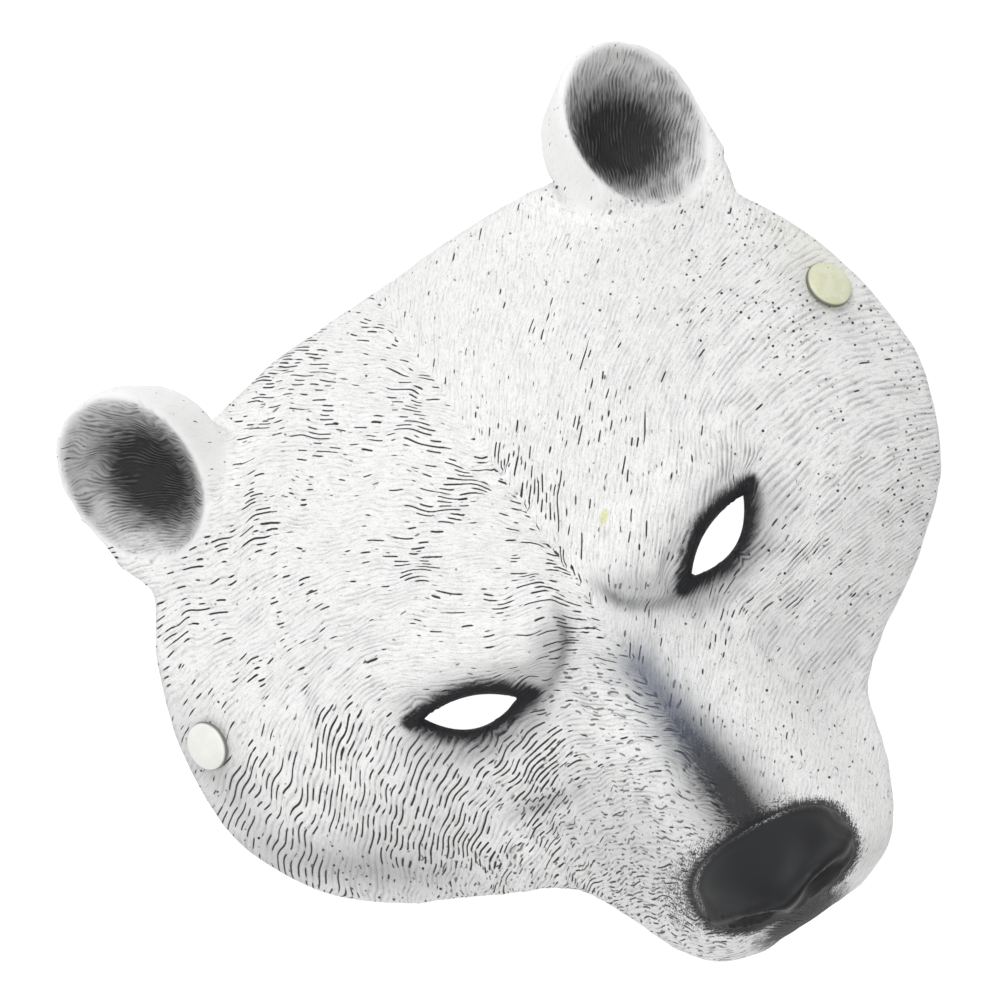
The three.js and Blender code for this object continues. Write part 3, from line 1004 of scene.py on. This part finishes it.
class FurFlow:
    """The lie of the hair over the shell, and coordinates that run along and across it."""

    along_hold: tuple[float, float] = (1.0, 0.12)
    across_hold: tuple[float, float] = (1.0, 0.25)
    solve_rounds: int = 700
    steepest: float = 0.25

    def __init__(self, points: Array, corners: Array) -> None:
        """Solves the coordinates on each half of the shell's outer faces.

        Args:
            points: Vertices in metres.
            corners: Triangles of the outer faces.
        """
        self.points = points
        self.halves: dict[Side, tuple[BVHTree, Array, Array]] = {}
        centre = points[corners].mean(1)
        for side in Side:
            mine = corners[(centre[:, 0] / MM - MIDLINE) * side.value > 0]
            hair = self._frames(mine)
            along = self._solve(mine, hair, self.along_hold, (1.0, 0.0))
            across = self._solve(mine, hair, self.across_hold, (0.0, 1.0))
            flow = np.column_stack([along, across, self._spread(mine, hair, across)])
            self.halves[side] = (tree_of(points, mine), mine, flow)

    @staticmethod
    def heading(x: Array, y: Array) -> Array:
        """The way the hair lies, seen from above.

        Args:
            x: Face x of the points.
            y: Face y of the points.

        Returns:
            One unit vector in the face plane for each point.
        """
        lies = np.zeros((len(x), 2))
        for side, marks in FLOW_MARKS.items():
            turn = np.radians([mark.angle for mark in marks])
            rows = np.column_stack([side.value * np.cos(turn), np.sin(turn)])
            mine = (x - MIDLINE) * side.value >= 0
            lies[mine] = blend_marks(np.abs(x[mine] - MIDLINE), y[mine], marks, rows)
        return lies / np.linalg.norm(lies, axis=1)[:, None]

    def _frames(self, faces: Array) -> HairFrames:
        """Measures faces against the hair that lies on them.

        Args:
            faces: Triangles to measure.

        Returns:
            Their areas and slopes.
        """
        corner = self.points[faces] / MM
        normal = np.cross(corner[:, 1] - corner[:, 0], corner[:, 2] - corner[:, 0])
        double = np.maximum(np.linalg.norm(normal, axis=1), 1e-9)
        normal = normal / double[:, None]
        middle = corner.mean(1)
        lies = self.heading(middle[:, 0], middle[:, 1] - EYE_LINE)
        steep = np.maximum(np.abs(normal[:, 2]), self.steepest) * np.where(normal[:, 2] < 0, -1, 1)
        lift = -(lies * normal[:, :2]).sum(1) / steep
        run = np.column_stack([lies, lift])
        run -= normal * (run * normal).sum(1)[:, None]
        run /= np.maximum(np.linalg.norm(run, axis=1), 1e-9)[:, None]
        side = np.cross(normal, run)
        opposite = np.stack([corner[:, (i + 2) % 3] - corner[:, (i + 1) % 3] for i in range(3)], 1)
        slope = np.cross(normal[:, None, :], opposite) / double[:, None, None]
        row_a = np.einsum("fij,fj->fi", slope, run)
        row_b = np.einsum("fij,fj->fi", slope, side)
        return HairFrames(double, slope, row_a, row_b)

    def _spread(self, faces: Array, hair: HairFrames, across: Array) -> Array:
        """Steps of the value across the hair that one millimetre takes.

        Args:
            faces: Triangles that the value covers.
            hair: The faces measured against the hair.
            across: The value at each vertex.

        Returns:
            The steps at each vertex.
        """
        rise = np.linalg.norm(np.einsum("fij,fi->fj", hair.slope, across[faces]), axis=1)
        count = len(self.points)
        total = np.bincount(faces.ravel(), np.repeat(rise * hair.area, 3), count)
        return total / np.maximum(np.bincount(faces.ravel(), np.repeat(hair.area, 3), count), 1e-9)

    def _solve(
        self,
        faces: Array,
        hair: HairFrames,
        hold: tuple[float, float],
        wanted_slope: tuple[float, float],
    ) -> Array:
        """Finds a smooth value whose slope along and across the hair is as asked.

        Args:
            faces: Triangles to cover.
            hair: The faces measured against the hair.
            hold: Weights of the slopes along and across the hair.
            wanted_slope: Slopes along and across, in steps a millimetre.

        Returns:
            The value at each vertex.
        """
        hold_a, hold_b = hold
        along, across = wanted_slope
        row_a, row_b, weight = hair.along, hair.across, hair.area[:, None]
        count = len(self.points)

        def gather(values: Array) -> Array:
            """Adds up face corner values at the vertices."""
            return np.bincount(faces.ravel(), values.ravel(), count)

        def apply(value: Array) -> Array:
            """The fit's matrix times a value at each vertex."""
            local = value[faces]
            rise_a = (row_a * local).sum(1)[:, None] * hold_a
            rise_b = (row_b * local).sum(1)[:, None] * hold_b
            return gather(weight * (row_a * rise_a + row_b * rise_b))

        wanted = gather(weight * (row_a * hold_a * along + row_b * hold_b * across))
        scale = gather(weight * (row_a**2 * hold_a + row_b**2 * hold_b))
        scale = np.where(scale > 0, scale, 1.0)
        value = np.zeros(count)
        left = wanted - apply(value)
        step = left / scale
        aim, power = step, left @ step
        for _ in range(self.solve_rounds):
            moved = apply(aim)
            share = power / max(aim @ moved, 1e-12)
            value = value + share * aim
            left = left - share * moved
            step = left / scale
            power, before = left @ step, power
            aim = step + aim * (power / before)
        return value

    def sample(self, side: Side, points: Array) -> Array:
        """Coordinates along and across the hair at points near one half of the shell.

        Args:
            side: Half of the face.
            points: Points in metres.

        Returns:
            One row for each point: along the hair, across it, and the spread.
        """
        tree, faces, flow = self.halves[side]
        near = [tree.find_nearest(Vector(p)) for p in points]
        face = faces[[hit[2] for hit in near]]
        spot = np.array([hit[0] for hit in near])
        a, b, c = (self.points[face[:, i]] for i in range(3))
        total = np.linalg.norm(np.cross(b - a, c - a), axis=1)
        share_b = np.linalg.norm(np.cross(spot - a, c - a), axis=1) / total
        share_c = np.linalg.norm(np.cross(b - a, spot - a), axis=1) / total
        share_a = np.clip(1 - share_b - share_c, 0, 1)
        weight = np.column_stack([share_a, share_b, share_c])
        return np.einsum("pi,pij->pj", weight, flow[face])


@dataclass(frozen=True)
class EarMarks:
    """Shares, at each vertex, of an ear bowl's dark, a bowl, a bowl's rim and an ear's flank."""

    dark: Array
    bowl: Array
    rim: Array
    flank: Array


@dataclass
class MaskSkin:
    """The foam face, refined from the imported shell; sizes in millimetres."""

    voxel: float = 1.26
    soften_rounds: int = 21
    lid_rise: float = 1.3
    lid_groove: float = 0.8
    lid_rim: tuple[float, float] = (1.9, 1.5)
    lid_furrow: tuple[float, float] = (6.0, 2.0)
    lash_corner: float = 3.2
    nose_ridge: float = 1.3
    nose_hollow: float = 0.9
    nose_rim: float = 0.45
    nostril_depth: float = 2.6
    pad_trim: float = 2.4
    knob_rise: float = 1.7
    knob_drop: float = 1.5
    knob_edge: float = 0.9
    knob_fade: float = 8.0
    drop_fade: float = 4.0
    dent: float = 0.8
    lock: float = 0.26
    full_wash: float = 0.8
    clumping: float = 2.0
    clump_most: float = 1.6
    speck_base: float = 0.7
    left_sway: float = 1.4
    right_sway: float = 0.7
    ear_sway: float = 0.9
    ear_relief: float = 1.5
    ear_spread: float = 0.78
    # Shares of grey: painted shade in the ear bowls, the crease, the brow knobs and the eye sockets, with
    # airbrush round the eyes, a blotchy grey low on the outer wall and a painted shadow along its bottom.
    ear_bowl_shade: float = 0.12
    crease_shadow: float = 0.42
    knob_shade: float = 0.24
    socket_shade_and_airbrush: float = 0.45
    edge_grey: float = 0.4
    wall_foot_shadow: float = 0.35

    def build(self, finish: FoamPaint) -> bpy.types.Object:
        """Makes the skin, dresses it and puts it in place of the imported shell.

        Args:
            finish: The paint on it.

        Returns:
            The finished piece.
        """
        shell = merged_copy(frame["nodes"]["mask_shell"])
        mesh = self._remeshed(shell)
        edges = read_rows(mesh.edges, "vertices", 2, int)
        points = self._softened(read_rows(mesh.vertices, "co", 3), edges)
        move_to(mesh, points)
        inside = self._inside(mesh, points)
        lie = self._lay_flow(mesh, points, self._flow(shell))
        bpy.data.meshes.remove(shell)
        self._open_eyes(points)
        self._sculpt(mesh, points, inside, lie)
        self._paint_marks(mesh, points, inside, lie)
        return put_in_place(mesh, finish, "mask_shell")

    def _remeshed(self, shell: bpy.types.Mesh) -> bpy.types.Mesh:
        """Covers the shell with an even, fine mesh.

        Args:
            shell: The merged shell.

        Returns:
            The new mesh.
        """
        holder = bpy.data.objects.new("shell_holder", shell)
        bpy.context.scene.collection.objects.link(holder)
        remesh = holder.modifiers.new("even", "REMESH")
        remesh.mode = "VOXEL"
        remesh.voxel_size = self.voxel * MM
        ready = holder.evaluated_get(bpy.context.evaluated_depsgraph_get())
        mesh = bpy.data.meshes.new_from_object(ready)
        mesh.name = "mask_skin"
        mesh.materials.clear()
        bpy.data.objects.remove(holder)
        return mesh

    def _softened(self, points: Array, edges: Array) -> Array:
        """Smooths the flat facets away and gives back the roundness that this takes.

        Args:
            points: Vertices in metres.
            edges: Pairs of vertex numbers.

        Returns:
            The vertices' new places.
        """
        count = len(points)
        first, second = edges.T
        degree = np.bincount(edges.ravel(), minlength=count)[:, None]

        def relax(place: Array) -> Array:
            """Moves each vertex half way to the middle of its neighbours, several times."""
            for _ in range(self.soften_rounds):
                total = np.column_stack([
                    np.bincount(first, place[second, axis], count)
                    + np.bincount(second, place[first, axis], count)
                    for axis in range(3)
                ])
                place = (place + total / degree) / 2
            return place

        once = relax(points)
        smooth = once + (once - relax(once))
        smooth[:, 2] = np.maximum(smooth[:, 2], 0.0)
        return smooth

    @staticmethod
    def _inside(mesh: bpy.types.Mesh, points: Array) -> Array:
        """Finds the vertices that see the middle of the hollow behind the mask.

        Args:
            mesh: The softened mesh.
            points: Its vertices in metres.

        Returns:
            1 for each vertex that faces the hollow and 0 for each other.
        """
        lift, hollow = 0.4 * MM, Vector((0.0, -0.01, 0.006))
        tree = tree_of(points, (face.vertices for face in mesh.polygons))
        normals = read_rows(mesh.vertex_normals, "vector", 3)
        found = np.zeros(len(points))
        for i, row in enumerate(points + normals * lift):
            start = Vector(row)
            way = hollow - start
            found[i] = tree.ray_cast(start, way.normalized(), way.length)[0] is None
        return found

    @staticmethod
    def _flow(shell: bpy.types.Mesh) -> FurFlow:
        """Lays the hair over the shell's faces that can be seen from above.

        Args:
            shell: The merged shell.

        Returns:
            The lie of the hair.
        """
        lift, least_up, up = 0.2 * MM, -0.2, Vector((0, 0, 1))
        shell.calc_loop_triangles()
        points = read_rows(shell.vertices, "co", 3)
        corners = read_rows(shell.loop_triangles, "vertices", 3, int)
        tree = tree_of(points, corners)
        a, b, c = (points[corners[:, i]] for i in range(3))
        normals = np.cross(b - a, c - a)
        normals /= np.maximum(np.linalg.norm(normals, axis=1), 1e-12)[:, None]
        starts = points[corners].mean(1) + normals * lift
        seen = np.array([tree.ray_cast(Vector(start), up)[0] is None for start in starts])
        return FurFlow(points, corners[(normals[:, 2] > least_up) & seen])

    def _lay_flow(self, mesh: bpy.types.Mesh, points: Array, flow: FurFlow) -> Array:
        """Stores the coordinates along and across the hair as a UV map.

        Args:
            mesh: The softened mesh.
            points: Its vertices in metres.
            flow: The lie of the hair.

        Returns:
            One row for each vertex: along the hair, across it, and the spread.
        """
        shift = (431.0, 277.0, 0.0)
        left, right = flow.sample(Side.LEFT, points), flow.sample(Side.RIGHT, points) + shift
        loops = read_rows(mesh.loops, "vertex_index", 1, int)[:, 0]
        totals = read_rows(mesh.polygons, "loop_total", 1, int)[:, 0]
        centres = read_rows(mesh.polygons, "center", 3)
        on_right = np.repeat(centres[:, 0] / MM > MIDLINE, totals)[:, None]
        uv = np.where(on_right, right[loops], left[loops])[:, :2]
        uv = self._ear_flow(points, loops, uv)
        layer = mesh.uv_layers.new(name=FLOW_UV)
        layer.data.foreach_set("uv", uv.astype(np.float32).ravel())
        return np.where((points[:, 0] / MM > MIDLINE)[:, None], right, left)

    @staticmethod
    def _ear_flow(points: Array, loops: Array, uv: Array) -> Array:
        """Turns the coordinates in the ear bowls so that the hair runs from the head to their tips.

        Args:
            points: Vertices in metres.
            loops: Vertex number of each face corner.
            uv: Coordinates of each face corner.

        Returns:
            The new coordinates.
        """
        x, y = face_xy(points)
        for side in Side:
            u, v = EAR.local((x - EAR_SHIFT) * side.value, y)
            a, b = u * EAR.along, v * EAR.across
            turn = math.radians(EAR_LEAN[side])
            along = a * math.cos(turn) + b * math.sin(turn)
            across = (b * math.cos(turn) - a * math.sin(turn)) / (1 + EAR_FAN * along)
            lie = np.column_stack([along, across + EAR_BOW * along**2])[loops]
            uv = np.where((np.hypot(u, v) < 1.0)[loops][:, None], lie, uv)
        return uv

    def _open_eyes(self, points: Array) -> None:
        """Draws the softened eye holes back out to their pointed outline.

        Args:
            points: Vertices in metres, moved in place.
        """
        x, y = face_xy(points)
        rim = almond()
        corners = np.array(rim[:-1]) - (EYE.x, EYE.y)
        rim_angle, rim_radius = np.arctan2(corners[:, 1], corners[:, 0]), np.hypot(*corners.T)
        for side in Side:
            dx, dy = x * side.value - EYE.x, y - EYE.y
            near = np.flatnonzero(np.hypot(dx, dy) < EYE_AREA)
            angle, radius = np.arctan2(dy[near], dx[near]), np.hypot(dx[near], dy[near])
            now = self._hole_radius(angle, radius)
            want = np.interp(angle, rim_angle, rim_radius, period=math.tau)
            push = (want - now) * bell(radius, now, EYE_BLEND)
            px = EYE.x + dx[near] + push * np.cos(angle)
            py = EYE.y + dy[near] + push * np.sin(angle)
            hit = nearest_on(rim, px, py)
            snap = np.where(eye_gap(px, py) < 0, RIM_HOLD, np.clip(RIM_REACH - hit.gap, 0, RIM_HOLD))
            px, py = px + (hit.x - px) * snap, py + (hit.y - py) * snap
            for tip_x, tip_y in (rim[0], rim[len(rim) // 2]):
                pull = np.clip(RIM_REACH - np.hypot(px - tip_x, py - tip_y), 0, 1)
                px, py = px + (tip_x - px) * pull, py + (tip_y - py) * pull
            points[near, 0] = px * side.value * MM
            points[near, 1] = (py + EYE_LINE) * MM

    @staticmethod
    def _hole_radius(angle: Array, radius: Array) -> Array:
        """How far a hole's edge is from its middle, in the direction of each vertex near it.

        Args:
            angle: Directions of the vertices from the middle.
            radius: Their distances from it.

        Returns:
            The edge's distance for each vertex.
        """
        found = np.full(EYE_BINS, EYE_AREA)
        np.minimum.at(found, np.floor(angle / math.tau * EYE_BINS).astype(int) % EYE_BINS, radius)
        middle = (np.arange(EYE_BINS) + 0.5) / EYE_BINS * math.tau
        return np.interp(angle, middle, found, period=math.tau)

    def _sculpt(self, mesh: bpy.types.Mesh, points: Array, inside: Array, lie: Array) -> None:
        """Raises the lids, folds, brow knobs, nose and locks of hair on the outer skin.

        Args:
            mesh: The softened mesh, moved to the new places.
            points: Vertices in metres, moved in place.
            inside: 1 for the vertices that face the hollow.
            lie: The vertices' places in the hair.
        """
        x, y = face_xy(points)
        normals = read_rows(mesh.vertex_normals, "vector", 3)
        gap, reach = self._lid_gap(x, y), nose_reach(x, y)
        rise = self.lid_rise * bell(gap, *self.lid_rim) - self.lid_groove * bell(gap, *self.lid_furrow)
        for fold in FOLDS.values():
            rise += fold.at(x, y)
        rise += self._knob_relief(x, y) + self._nose_relief(x, y, reach)
        lumps = LUMPS.at(x, y)
        locks = LOCKS.at(lie[:, 0], lie[:, 1])
        furry = ramp(reach, 1.02, 1.22) * ramp(gap, 1.5, 4.5)
        rise += furry * (self.dent * lumps + self.lock * locks)
        rise *= (1 - inside) * ramp(points[:, 2] / MM, 1.0, 6.0)
        points += normals * (rise * MM)[:, None]
        move_to(mesh, points)

    @staticmethod
    def _lid_gap(x: Array, y: Array) -> Array:
        """Millimetres from the edge of the nearer eye hole, below zero within it."""
        gap = nearest_on(almond(), np.abs(x), y).gap
        return np.where(eye_gap(x, y) < 0, -gap, gap)

    def _lash_gap(self, x: Array, y: Array, lid: Array) -> Array:
        """Millimetres from the eye hole, drawn in at its corners so that the lashes run out to points."""
        u, v = EYE.local(np.abs(x), y)
        return lid - self.lash_corner * bell(np.abs(u), 1.32, 0.28) * bell(v, 0, 1.9)

    def _knob_relief(self, x: Array, y: Array) -> Array:
        """Shapes the brow knobs and the hollows below them.

        Args:
            x: Face x of the vertices.
            y: Face y of the vertices.

        Returns:
            Height in millimetres.
        """
        crease, share = crease_gap(x, y)
        held = ramp(share, 0, 0.3) * ramp(share, 1, 0.85)
        knob = 0.5 + 0.5 * np.tanh(crease / self.knob_edge)
        raised = knob * self.knob_rise * np.exp(-np.maximum(crease, 0) / self.knob_fade)
        sunk = (1 - knob) * self.knob_drop * np.exp(np.minimum(crease, 0) / self.drop_fade)
        return held * (raised - sunk)

    def _nose_relief(self, x: Array, y: Array, reach: Array) -> Array:
        """Shapes the nose pad's ridge, nostrils and rim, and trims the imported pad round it.

        Args:
            x: Face x of the vertices.
            y: Face y of the vertices.
            reach: How far out on the nose pad they are.

        Returns:
            Height in millimetres.
        """
        path = np.array(NOSE_RIDGE)
        below = np.interp(x, path[:, 0], path[:, 1]) - y
        u, v = PACKED_NOSE.local(x, y)
        packed = ramp(np.abs(u) ** NOSE_SQUARE + np.abs(v) ** NOSE_SQUARE, 1.35, 0.65)
        rise = -self.pad_trim * ramp(reach, 1.0, 1.16) * packed**2 * (3 - 2 * packed)
        lip = self.nose_ridge * bell(below, 0, 1.9) - self.nose_hollow * ramp(below, 0, 3.0)
        rise += ramp(reach, 1.04, 0.94) * (lip - self.nose_hollow * bell(below, -4.5, 3.0))
        rise += self.nose_rim * bell(reach, 0.88, 0.1) * ramp(below, 3.0, 0)
        for nostril in NOSTRILS:
            u, v = nostril.local(x, y)
            rise -= self.nostril_depth * np.exp(-(u**4) - v * v)
        return rise

    def _paint_marks(self, mesh: bpy.types.Mesh, points: Array, inside: Array, lie: Array) -> None:
        """Stores what the paint needs to know at each vertex.

        Args:
            mesh: The sculpted mesh.
            points: Its vertices in metres.
            inside: 1 for the vertices that face the hollow.
            lie: The vertices' places in the hair.
        """
        x, y = face_xy(points)
        rows = np.array([(s.wash, s.stubble, s.speckle, s.relief) for s in PAINT_SPOTS])
        wash, stubble, speckle, relief = blend_marks(x, y, PAINT_SPOTS, rows).T
        normals = read_rows(mesh.vertex_normals, "vector", 3)
        ears = self._ears(x, y, (normals[:, 2] > 0) * (1 - inside))
        off_bowl, off_flank = 1 - ears.bowl, 1 - ears.flank
        along, across, spread = lie.T
        clump = CLUMPS.at(x, y)
        wash = wash * off_bowl * off_flank * (1 - ears.rim)
        more = np.clip(1 + self.clumping * clump, 0, self.clump_most)
        fewer = np.clip(self.speck_base - self.clumping * clump, 0, self.clump_most)
        wash = np.where(wash < self.full_wash, wash * more, wash)
        furry = (1 - inside) * ramp(nose_reach(x, y), 0.99, 1.05)
        wander = WANDER.at(along, across) * np.where(x < 0, self.left_sway, self.right_sway)
        lid = self._lid_gap(x, y)
        marks = {
            "wash": wash,
            "stubble": stubble * off_bowl,
            "speckle": speckle**2 * fewer * off_bowl * off_flank,
            "relief": relief * off_bowl + self.ear_relief * ears.bowl,
            "bowl": ears.dark,
            "inside": inside,
            "furry": furry * (1 - 0.95 * ears.rim) * (1 - 0.7 * ears.flank),
            "wander": wander * np.clip(spread, 0.6, 1.4) * (1 + self.ear_sway * ears.bowl),
            "patch": ramp(PATCHES.at(along, across), -0.3125, 0.3125),
            "lid": lid,
            # Painted shade and airbrush grey, with painted shade in the ear bowls.
            "grime": np.maximum(self._painted_shade_and_grey(points, lid), self.ear_bowl_shade * ears.bowl),
            "lash": self._lash_gap(x, y, lid),
            "spread": spread * off_bowl + self.ear_spread * ears.bowl,
        }
        for name, values in marks.items():
            store(mesh, name, values)

    @staticmethod
    def _ears(x: Array, y: Array, outer: Array) -> EarMarks:
        """Marks the ears.

        Args:
            x: Face x of the vertices.
            y: Face y of the vertices.
            outer: 1 for the vertices of the outer skin that face up.

        Returns:
            The marks.
        """
        dark, bowl, rim, flank = np.zeros((4, len(x)))
        for side in Side:
            out = (x - EAR_SHIFT) * side.value
            u, v = EAR.local(out, y)
            reach, shade = np.hypot(u, v), np.hypot(*EAR_SHADES[side].local(out, y))
            cup = ramp(reach, 1.02, 0.97) * outer
            inner = (reach > 1) * ramp(reach, 1.6, 1.45) * ramp(u, 0, -0.25) * ramp(y, 84, 88)
            dark = np.maximum(dark, ramp(shade, 1, 0) * cup)
            bowl = np.maximum(bowl, cup)
            rim = np.maximum(rim, ramp(np.abs(reach - 1), 0.09, 0.03))
            flank = np.maximum(flank, inner)
        return EarMarks(dark, bowl, rim, flank)

    def _painted_shade_and_grey(self, points: Array, lid: Array) -> Array:
        """Gathers the grey of the airbrush, the painted shade of the creases, dents, slopes, brow knobs
        and eye sockets, a blotchy grey low on the outer wall and a painted shadow along its bottom.

        Args:
            points: Vertices in metres.
            lid: Their distances from the eye holes.

        Returns:
            Share of grey at each vertex.
        """
        x, y = face_xy(points)
        height = points[:, 2] / MM
        crease, share = crease_gap(x, y)
        grime = np.zeros(len(x))
        # Painted shade of creases, dents, sockets and slopes, and grey airbrush, from the table of
        # patches.
        for shade in SHADES.values():
            grime += shade.at(x, y)
        # Painted shadow in the crease under each brow knob, and softer painted shade over the knob.
        held = ramp(share, 0, 0.35) * np.clip(1.3 - share, 0.35, 1)
        grime += held * self.crease_shadow * bell(crease, -0.4, 1.6)
        grime += held * self.knob_shade * bell(crease, 2, 6)
        # Grey round the eye holes: airbrush, with painted shade of the sockets.
        grime += self.socket_shade_and_airbrush * bell(np.maximum(lid, 0), 0, 5.5)
        # Greyer in blotches towards the floor on the outer wall.
        blotch = ramp(BLOTCHES.at(x, y), -0.375, 0.25)
        grime += self.edge_grey * ramp(height, 9, 2) * blotch
        # Painted shadow along the bottom of the outer wall, where it meets the floor.
        grime += self.wall_foot_shadow * ramp(height, 3.0, 0.5)
        return np.clip(grime, 0, 1)


@dataclass(frozen=True)
class CapSizes:
    """What a packed cap measures about its own axis, in metres."""

    axis: Vector
    middle: Array
    radius: float
    post: float
    low: float
    seat: float
    shoulder: float
    high: float


def from_axis(points: Array, axis: Vector, middle: Array) -> tuple[Array, Array]:
    """Heights of points along an axis through the middle, and their distances from it."""
    heights = points @ np.array(axis)
    return heights, np.linalg.norm(points - middle - np.outer(heights, np.array(axis)), axis=1)


@dataclass
class SnapCap:
    """A turned plastic cap with its post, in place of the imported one; its edge in millimetres."""

    side: Side
    edge_round: float = 0.35
    dome_steps: int = 10
    turn_steps: int = 64

    def build(self, finish: SnapPlastic, slot: str) -> bpy.types.Object:
        """Turns the cap's profile about its own axis and dresses it.

        Args:
            finish: Plastic of the cap.
            slot: Not used.

        Returns:
            The finished piece.
        """
        node = f"snap_cap_{self.side.name.lower()}"
        sizes = self._measure(node)
        work = bmesh.new()
        verts = [work.verts.new((r, 0, h)) for r, h in self._profile(sizes)]
        edges = [work.edges.new(pair) for pair in zip(verts, verts[1:])]
        bmesh.ops.spin(
            work, geom=verts + edges, cent=(0, 0, 0), axis=(0, 0, 1), angle=math.tau,
            steps=self.turn_steps, use_merge=True,
        )
        bmesh.ops.remove_doubles(work, verts=work.verts, dist=1e-6)
        turn = sizes.axis.to_track_quat("Z", "Y").to_matrix().to_4x4()
        place = Matrix.Translation(Vector(sizes.middle)) @ turn
        bmesh.ops.transform(work, matrix=place, verts=work.verts)
        bmesh.ops.recalc_face_normals(work, faces=work.faces)
        mesh = bpy.data.meshes.new(f"{node}_turned")
        work.to_mesh(mesh)
        work.free()
        _, out = from_axis(read_rows(mesh.vertices, "co", 3), sizes.axis, sizes.middle)
        # Marks the cap's outer edge for the painted shadow round its base.
        store(mesh, "foot", ramp(out / sizes.radius, 0.95, 0.98))
        return put_in_place(mesh, finish, node)

    def _measure(self, node: str) -> CapSizes:
        """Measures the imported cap.

        Args:
            node: Its name.

        Returns:
            The measures.
        """
        name = f"strap_snap_{self.side.name.lower()}"
        mount = next(m for m in frame["record"]["mounts"] if m["name"] == name)
        axis = -Vector(mount["axis"]).normalized()
        packed = merged_copy(frame["nodes"][node])
        corners = read_rows(packed.vertices, "co", 3)
        bpy.data.meshes.remove(packed)
        middle = corners.mean(0)
        middle = middle - np.array(axis) * (middle @ np.array(axis))
        along, radii = from_axis(corners, axis, middle)
        radius, low = radii.max(), along.min()
        rim = along[radii > radius * 0.99]
        post = radii[np.abs(along - low) < 1e-5].max()
        return CapSizes(axis, middle, radius, post, low, rim.min(), rim.max(), along.max())

    def _profile(self, sizes: CapSizes) -> list[tuple[float, float]]:
        """Draws half a section of the cap, from the post's end up to the crown.

        Args:
            sizes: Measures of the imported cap.

        Returns:
            Radius and height of each corner.
        """
        radius, post, seat, shoulder = sizes.radius, sizes.post, sizes.seat, sizes.shoulder
        edge = self.edge_round * MM
        points = [
            (0.0, sizes.low), (post, sizes.low), (post, seat), (radius - edge, seat),
            (radius, seat + edge), (radius, shoulder - edge),
        ]
        dome, rise = radius - edge * 0.4, sizes.high - shoulder
        for step in range(self.dome_steps):
            turn = step / self.dome_steps * math.pi / 2
            points.append((dome * math.cos(turn), shoulder + rise * math.sin(turn)))
        return points + [(0.0, sizes.high)]


@dataclass(frozen=True)
class Lamp:
    """A square lamp aimed at the mask, in metres and watts."""

    place: tuple[float, float, float]
    size: float
    power: float


LAMPS = {
    "key": Lamp((0.45, 1.25, 1.5), 0.8, 15.0),
    "top": Lamp((0.0, 0.2, 2.2), 0.9, 12.0),
    "fill": Lamp((-1.2, -0.4, 1.2), 1.0, 7.0),
}


@dataclass
class Studio:
    """Floor, lights and the camera that looks straight down on the mask; view sizes in millimetres."""

    view_width: float = 250.5
    view_x: float = -1.72
    view_y: float = 39.37
    view_height: float = 50.0
    distance: float = 2400.0
    roll: float = -35.0
    sensor: float = 36.0
    surround: float = 0.46
    floor_half: float = 6.0
    far: float = 20.0

    def build(self) -> None:
        """Sets the whole studio up."""
        self._floor()
        self._lights()
        self._camera()

    def _floor(self) -> None:
        """A wide sheet of pale paper."""
        work = bmesh.new()
        bmesh.ops.create_grid(work, x_segments=8, y_segments=8, size=self.floor_half)
        mesh = bpy.data.meshes.new("floor")
        work.to_mesh(mesh)
        work.free()
        mesh.materials.append(FloorPaper().material())
        floor = bpy.data.objects.new("floor", mesh)
        bpy.context.scene.collection.objects.link(floor)

    def _lights(self) -> None:
        """A key light beyond the crown, a soft top light, a weak fill and an even white surround."""
        for name, lamp in LAMPS.items():
            data = bpy.data.lights.new(name, "AREA")
            data.size = lamp.size
            data.energy = lamp.power
            light = bpy.data.objects.new(name, data)
            light.location = lamp.place
            light.rotation_euler = Vector(lamp.place).to_track_quat("Z", "Y").to_euler()
            bpy.context.scene.collection.objects.link(light)
        world = bpy.data.worlds.new("surround")
        world.use_nodes = True
        glow = world.node_tree.nodes["Background"]
        glow.inputs[0].default_value = (1, 1, 1, 1)
        glow.inputs[1].default_value = self.surround
        bpy.context.scene.world = world

    def _camera(self) -> None:
        """The camera, turned as the mask lies in the picture."""
        data = bpy.data.cameras.new("camera")
        data.sensor_width = self.sensor
        data.lens = self.sensor * self.distance / self.view_width
        data.clip_end = self.far
        camera = bpy.data.objects.new("camera", data)
        camera.location = (
            self.view_x * MM, (self.view_y + EYE_LINE) * MM, (self.view_height + self.distance) * MM,
        )
        camera.rotation_euler = (0, 0, math.radians(self.roll))
        bpy.context.scene.collection.objects.link(camera)
        bpy.context.scene.camera = camera
        bpy.context.scene.view_settings.view_transform = "Standard"


def main() -> None:
    """Builds every piece in order."""
    logging.basicConfig(level=logging.INFO, format="%(name)s: %(message)s")
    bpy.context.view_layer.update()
    MaskSkin().build(FoamPaint())
    white = SnapPlastic("snap_white", (0.77, 0.78, 0.74, 1), (0.81, 0.82, 0.77, 1), 0.1)
    cream = SnapPlastic("snap_cream", (0.65, 0.66, 0.46, 1), (0.71, 0.72, 0.56, 1), 0.8)
    for side, finish in ((Side.LEFT, white), (Side.RIGHT, cream)):
        SnapCap(side).build(finish, finish.name)
        ring = frame["nodes"][f"snap_socket_{side.name.lower()}"]
        ring.data.materials.clear()
        ring.data.materials.append(finish.material())
        LOG.info("%s: packed solid with %s", ring.name, finish.name)
    Studio().build()


if __name__ == "__main__":
    main()
